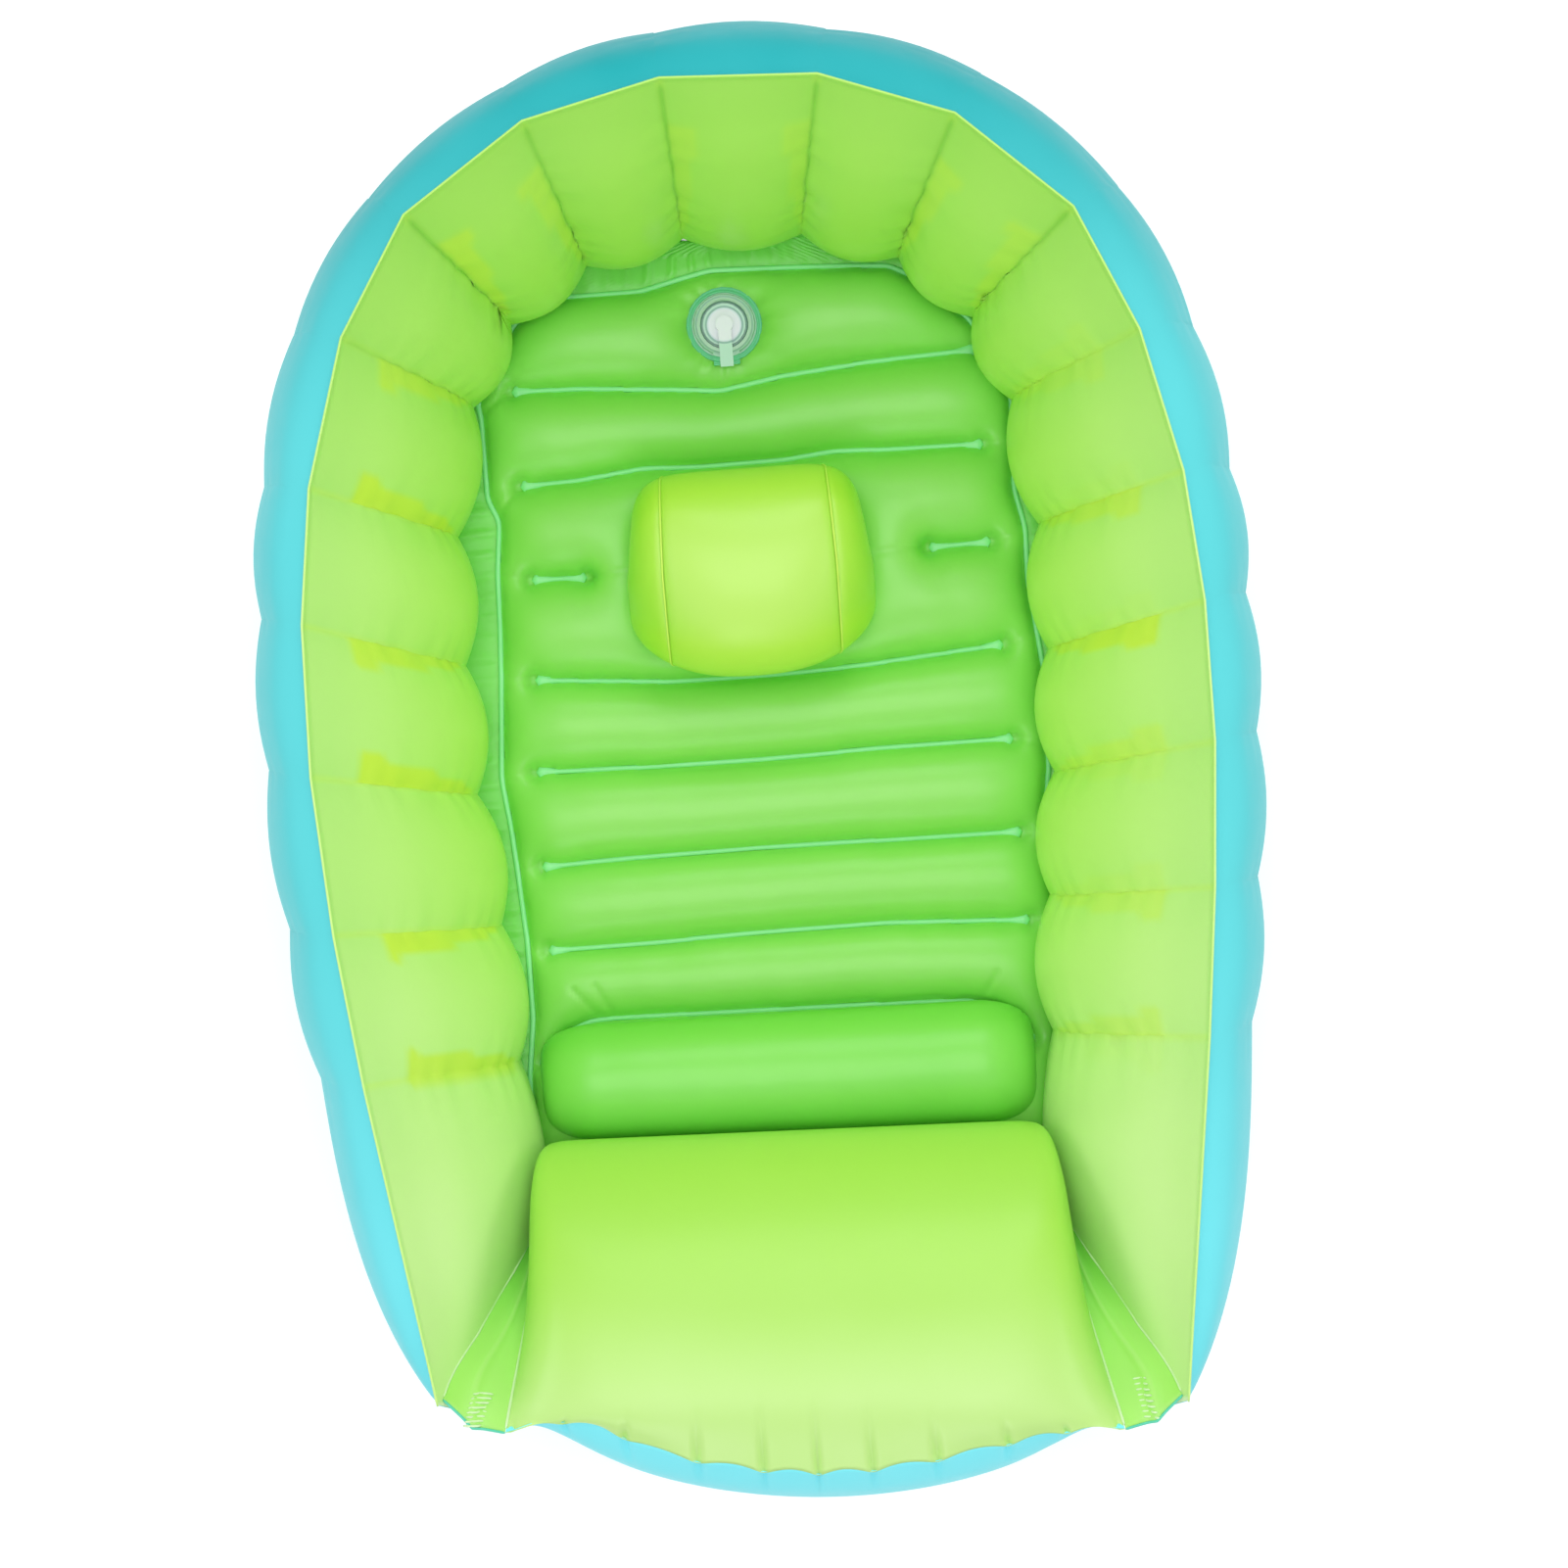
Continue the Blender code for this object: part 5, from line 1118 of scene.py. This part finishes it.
# Corners of each ladder patch: inner and outer at its front, then inner and outer at its rear
LADDERS = {"left": [(-0.2050, -0.3882), (-0.2174, -0.3862), (-0.2126, -0.4049), (-0.2241, -0.4040)],
           "right": [(0.2067, -0.4110), (0.2145, -0.4104), (0.2103, -0.4322), (0.2197, -0.4330)]}
LADDER_BARS, BAR_STATIONS = 8, 9
LADDER_LIFT, LADDER_RADIUS = 0.0006, 0.0008
FREE_EDGE_LIFT, FREE_EDGE_RADIUS = 0.0004, 0.0009
seam_rear_y = end_lobe(-1, INNER_ROWS, [1.0], 1)[-1, 0, 1]
for sign, side in ((-1, "left"), (1, "right")):
    b = np.linspace(GUSSET_START, 1, GUSSET_STEPS)
    seam = (back_front + (back_top - back_front) * b[:, None]) * (sign, 1, 1)
    t = ramp((seam[:, 1] - RIM[-1, 1]) / (seam_rear_y - RIM[-1, 1]))
    outer = np.column_stack([wall_end_place(t, seam[:, 2], sign), seam[:, 2]])
    outer -= (sign * GUSSET_CLEARANCE, 0, 0)
    inner = seam + (sign * GUSSET_CLEARANCE, 0, 0)
    across = np.linspace(0, 1, GUSSET_COLUMNS)[None, :]
    sheet_points = inner[:, None] + (outer - inner)[:, None] * across[..., None]
    wide = b[:, None]
    channel = np.sin(math.pi * across)
    wander = 0.5 + FOLD_WANDER * np.sin(FOLD_WANDER_TURNS * b)[:, None]
    fold = np.exp(-((across - wander) / GUSSET_FOLD_WIDTH) ** 2)
    sheet_points[..., 2] -= GUSSET_SLACK * wide * channel - GUSSET_FOLD * fold * wide
    flap = np.interp(across, (0, FLAP_PEAK, 1), (0, 1, 0)) * wide ** FLAP_POWER
    sheet_points = askew(sheet_points)
    sheet_points[..., 1] -= GUSSET_FLAP[side] * flap
    gusset = film_piece(f"corner_gusset_{side}_film", sheet_points, gusset_look, flip=sign > 0,
                        fold=fold, low=wide)
    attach(gusset, "tub")
    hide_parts(f"corner_gusset_{side}")
    lines = [tube(sheet_points[first:-1, column] + (0, 0, SIDE_WELD_LIFT), radius)
             for column, first, radius in SIDE_WELDS]
    flat = sheet_points.reshape(-1, 3)
    front_in, front_out, rear_in, rear_out = (np.array(corner) for corner in LADDERS[side])
    for share in np.linspace(0, 1, LADDER_BARS):
        start = front_in + (rear_in - front_in) * share
        end = front_out + (rear_out - front_out) * share
        plan = start + (end - start) * np.linspace(0, 1, BAR_STATIONS)[:, None]
        near = np.argmin(np.linalg.norm(flat[None, :, :2] - plan[:, None], axis=2), axis=1)
        lines.append(tube(np.column_stack([plan, flat[near, 2] + LADDER_LIFT]), LADDER_RADIUS))
    welds = tubes_piece(f"corner_gusset_{side}_welds", lines, edge_look)
    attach(welds, "tub")
    free_edge = tubes_piece(f"corner_gusset_{side}_free_edge",
                            [tube(sheet_points[-1] + (0, 0, FREE_EDGE_LIFT), FREE_EDGE_RADIUS)],
                            free_edge_look)
    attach(free_edge, "tub")

# Drain and air valves: clear soft mouldings. The drain's flange is welded to the green film, so its
# rim looks teal, and moulded steps ring its middle, banded with painted reflections and highlights.
# The plug's head is a paler disc, ringed by painted reflections. The air valves are the same
# plastic, pressed flat into the blue film.
BAND_BLUR = 0.0004
RING_PITCH = 0.0032


def moulding_look(name, centre, bands, clear, rings=0.0):
    """Clear plastic whose colour goes by the distance from a centre in plan: bands are
    (radius, colour), each holding from its radius outward, with soft steps between."""
    look, tree = material(name)
    shift = add_node(tree, "VectorMath", operation="SUBTRACT", inputs={
        0: add_node(tree, "TexCoord").outputs["Object"], 1: (centre[0], centre[1], 0.0)})
    flat = add_node(tree, "VectorMath", {0: shift, 1: (1.0, 1.0, 0.0)}, operation="MULTIPLY")
    away = add_node(tree, "VectorMath", {0: flat}, operation="LENGTH").outputs["Value"]
    colour = plain_colour(tree, bands[0][1])
    for radius, over in bands[1:]:
        colour = colour_over(tree, colour, away, radius - BAND_BLUR, radius + BAND_BLUR, over)
    turns = add_node(tree, "Math", {0: away, 1: 2 * math.pi / RING_PITCH}, operation="MULTIPLY")
    wave = add_node(tree, "Math", {0: turns}, operation="SINE")
    bump = add_node(tree, "Bump", {"Distance": rings, "Strength": 0.8, "Height": wave})
    shader = add_node(tree, "BsdfPrincipled", {
        "Base Color": colour, "Normal": bump, "Roughness": 0.16, "IOR": 1.48,
        "Transmission Weight": clear, "Coat Weight": 0.4, "Coat Roughness": 0.08})
    add_node(tree, "OutputMaterial", {"Surface": shader})
    return look


def repaint(node, look):
    """Gives a carried-over CAD node this material in every slot."""
    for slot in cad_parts[node].material_slots:
        slot.link = "OBJECT"
        slot.material = look


# The dark and pale bands from 15 to 22 mm out are painted reflections and highlights in the clear
# plastic. The teal rim and the bumped rings are its own.
drain_look = moulding_look("drain_clear", DRAIN, [
    (0.0, "A8D2C4"), (0.0150, "84B8A8"), (0.0162, "C6E8D8"), (0.0186, "98CAB8"), (0.0200, "B4E2CE"),
    (0.0222, "4CD694")], clear=0.25, rings=0.0003)
# The dark and pale rings round the plug's disc are painted reflections.
plug_look = moulding_look("drain_plug_clear", DRAIN, [
    (0.0, "ECE8FF"), (0.0108, "D6DEF4"), (0.0118, "7CAAA4"), (0.0132, "B4DCD0")], clear=0.06)
for node in ("drain_flange", "drain_tube"):
    repaint(node, drain_look)
repaint("drain_plug", plug_look)
valve_look = moulding_look("valve_clear", (0.0, 0.0), [(0.0, "B8EEF4")], clear=0.12)
for prefix in ("wall_valve", "backrest_valve"):
    for part in ("flange", "stem", "cap", "flap"):
        repaint(f"{prefix}_{part}", valve_look)
baffle_look = film_look("baffle_film", "C6F070", "BCEC60", [], glow=0.2)
for k in range(1, len(RIM) + 1):
    repaint(f"wall_baffle_{k:02d}", baffle_look)
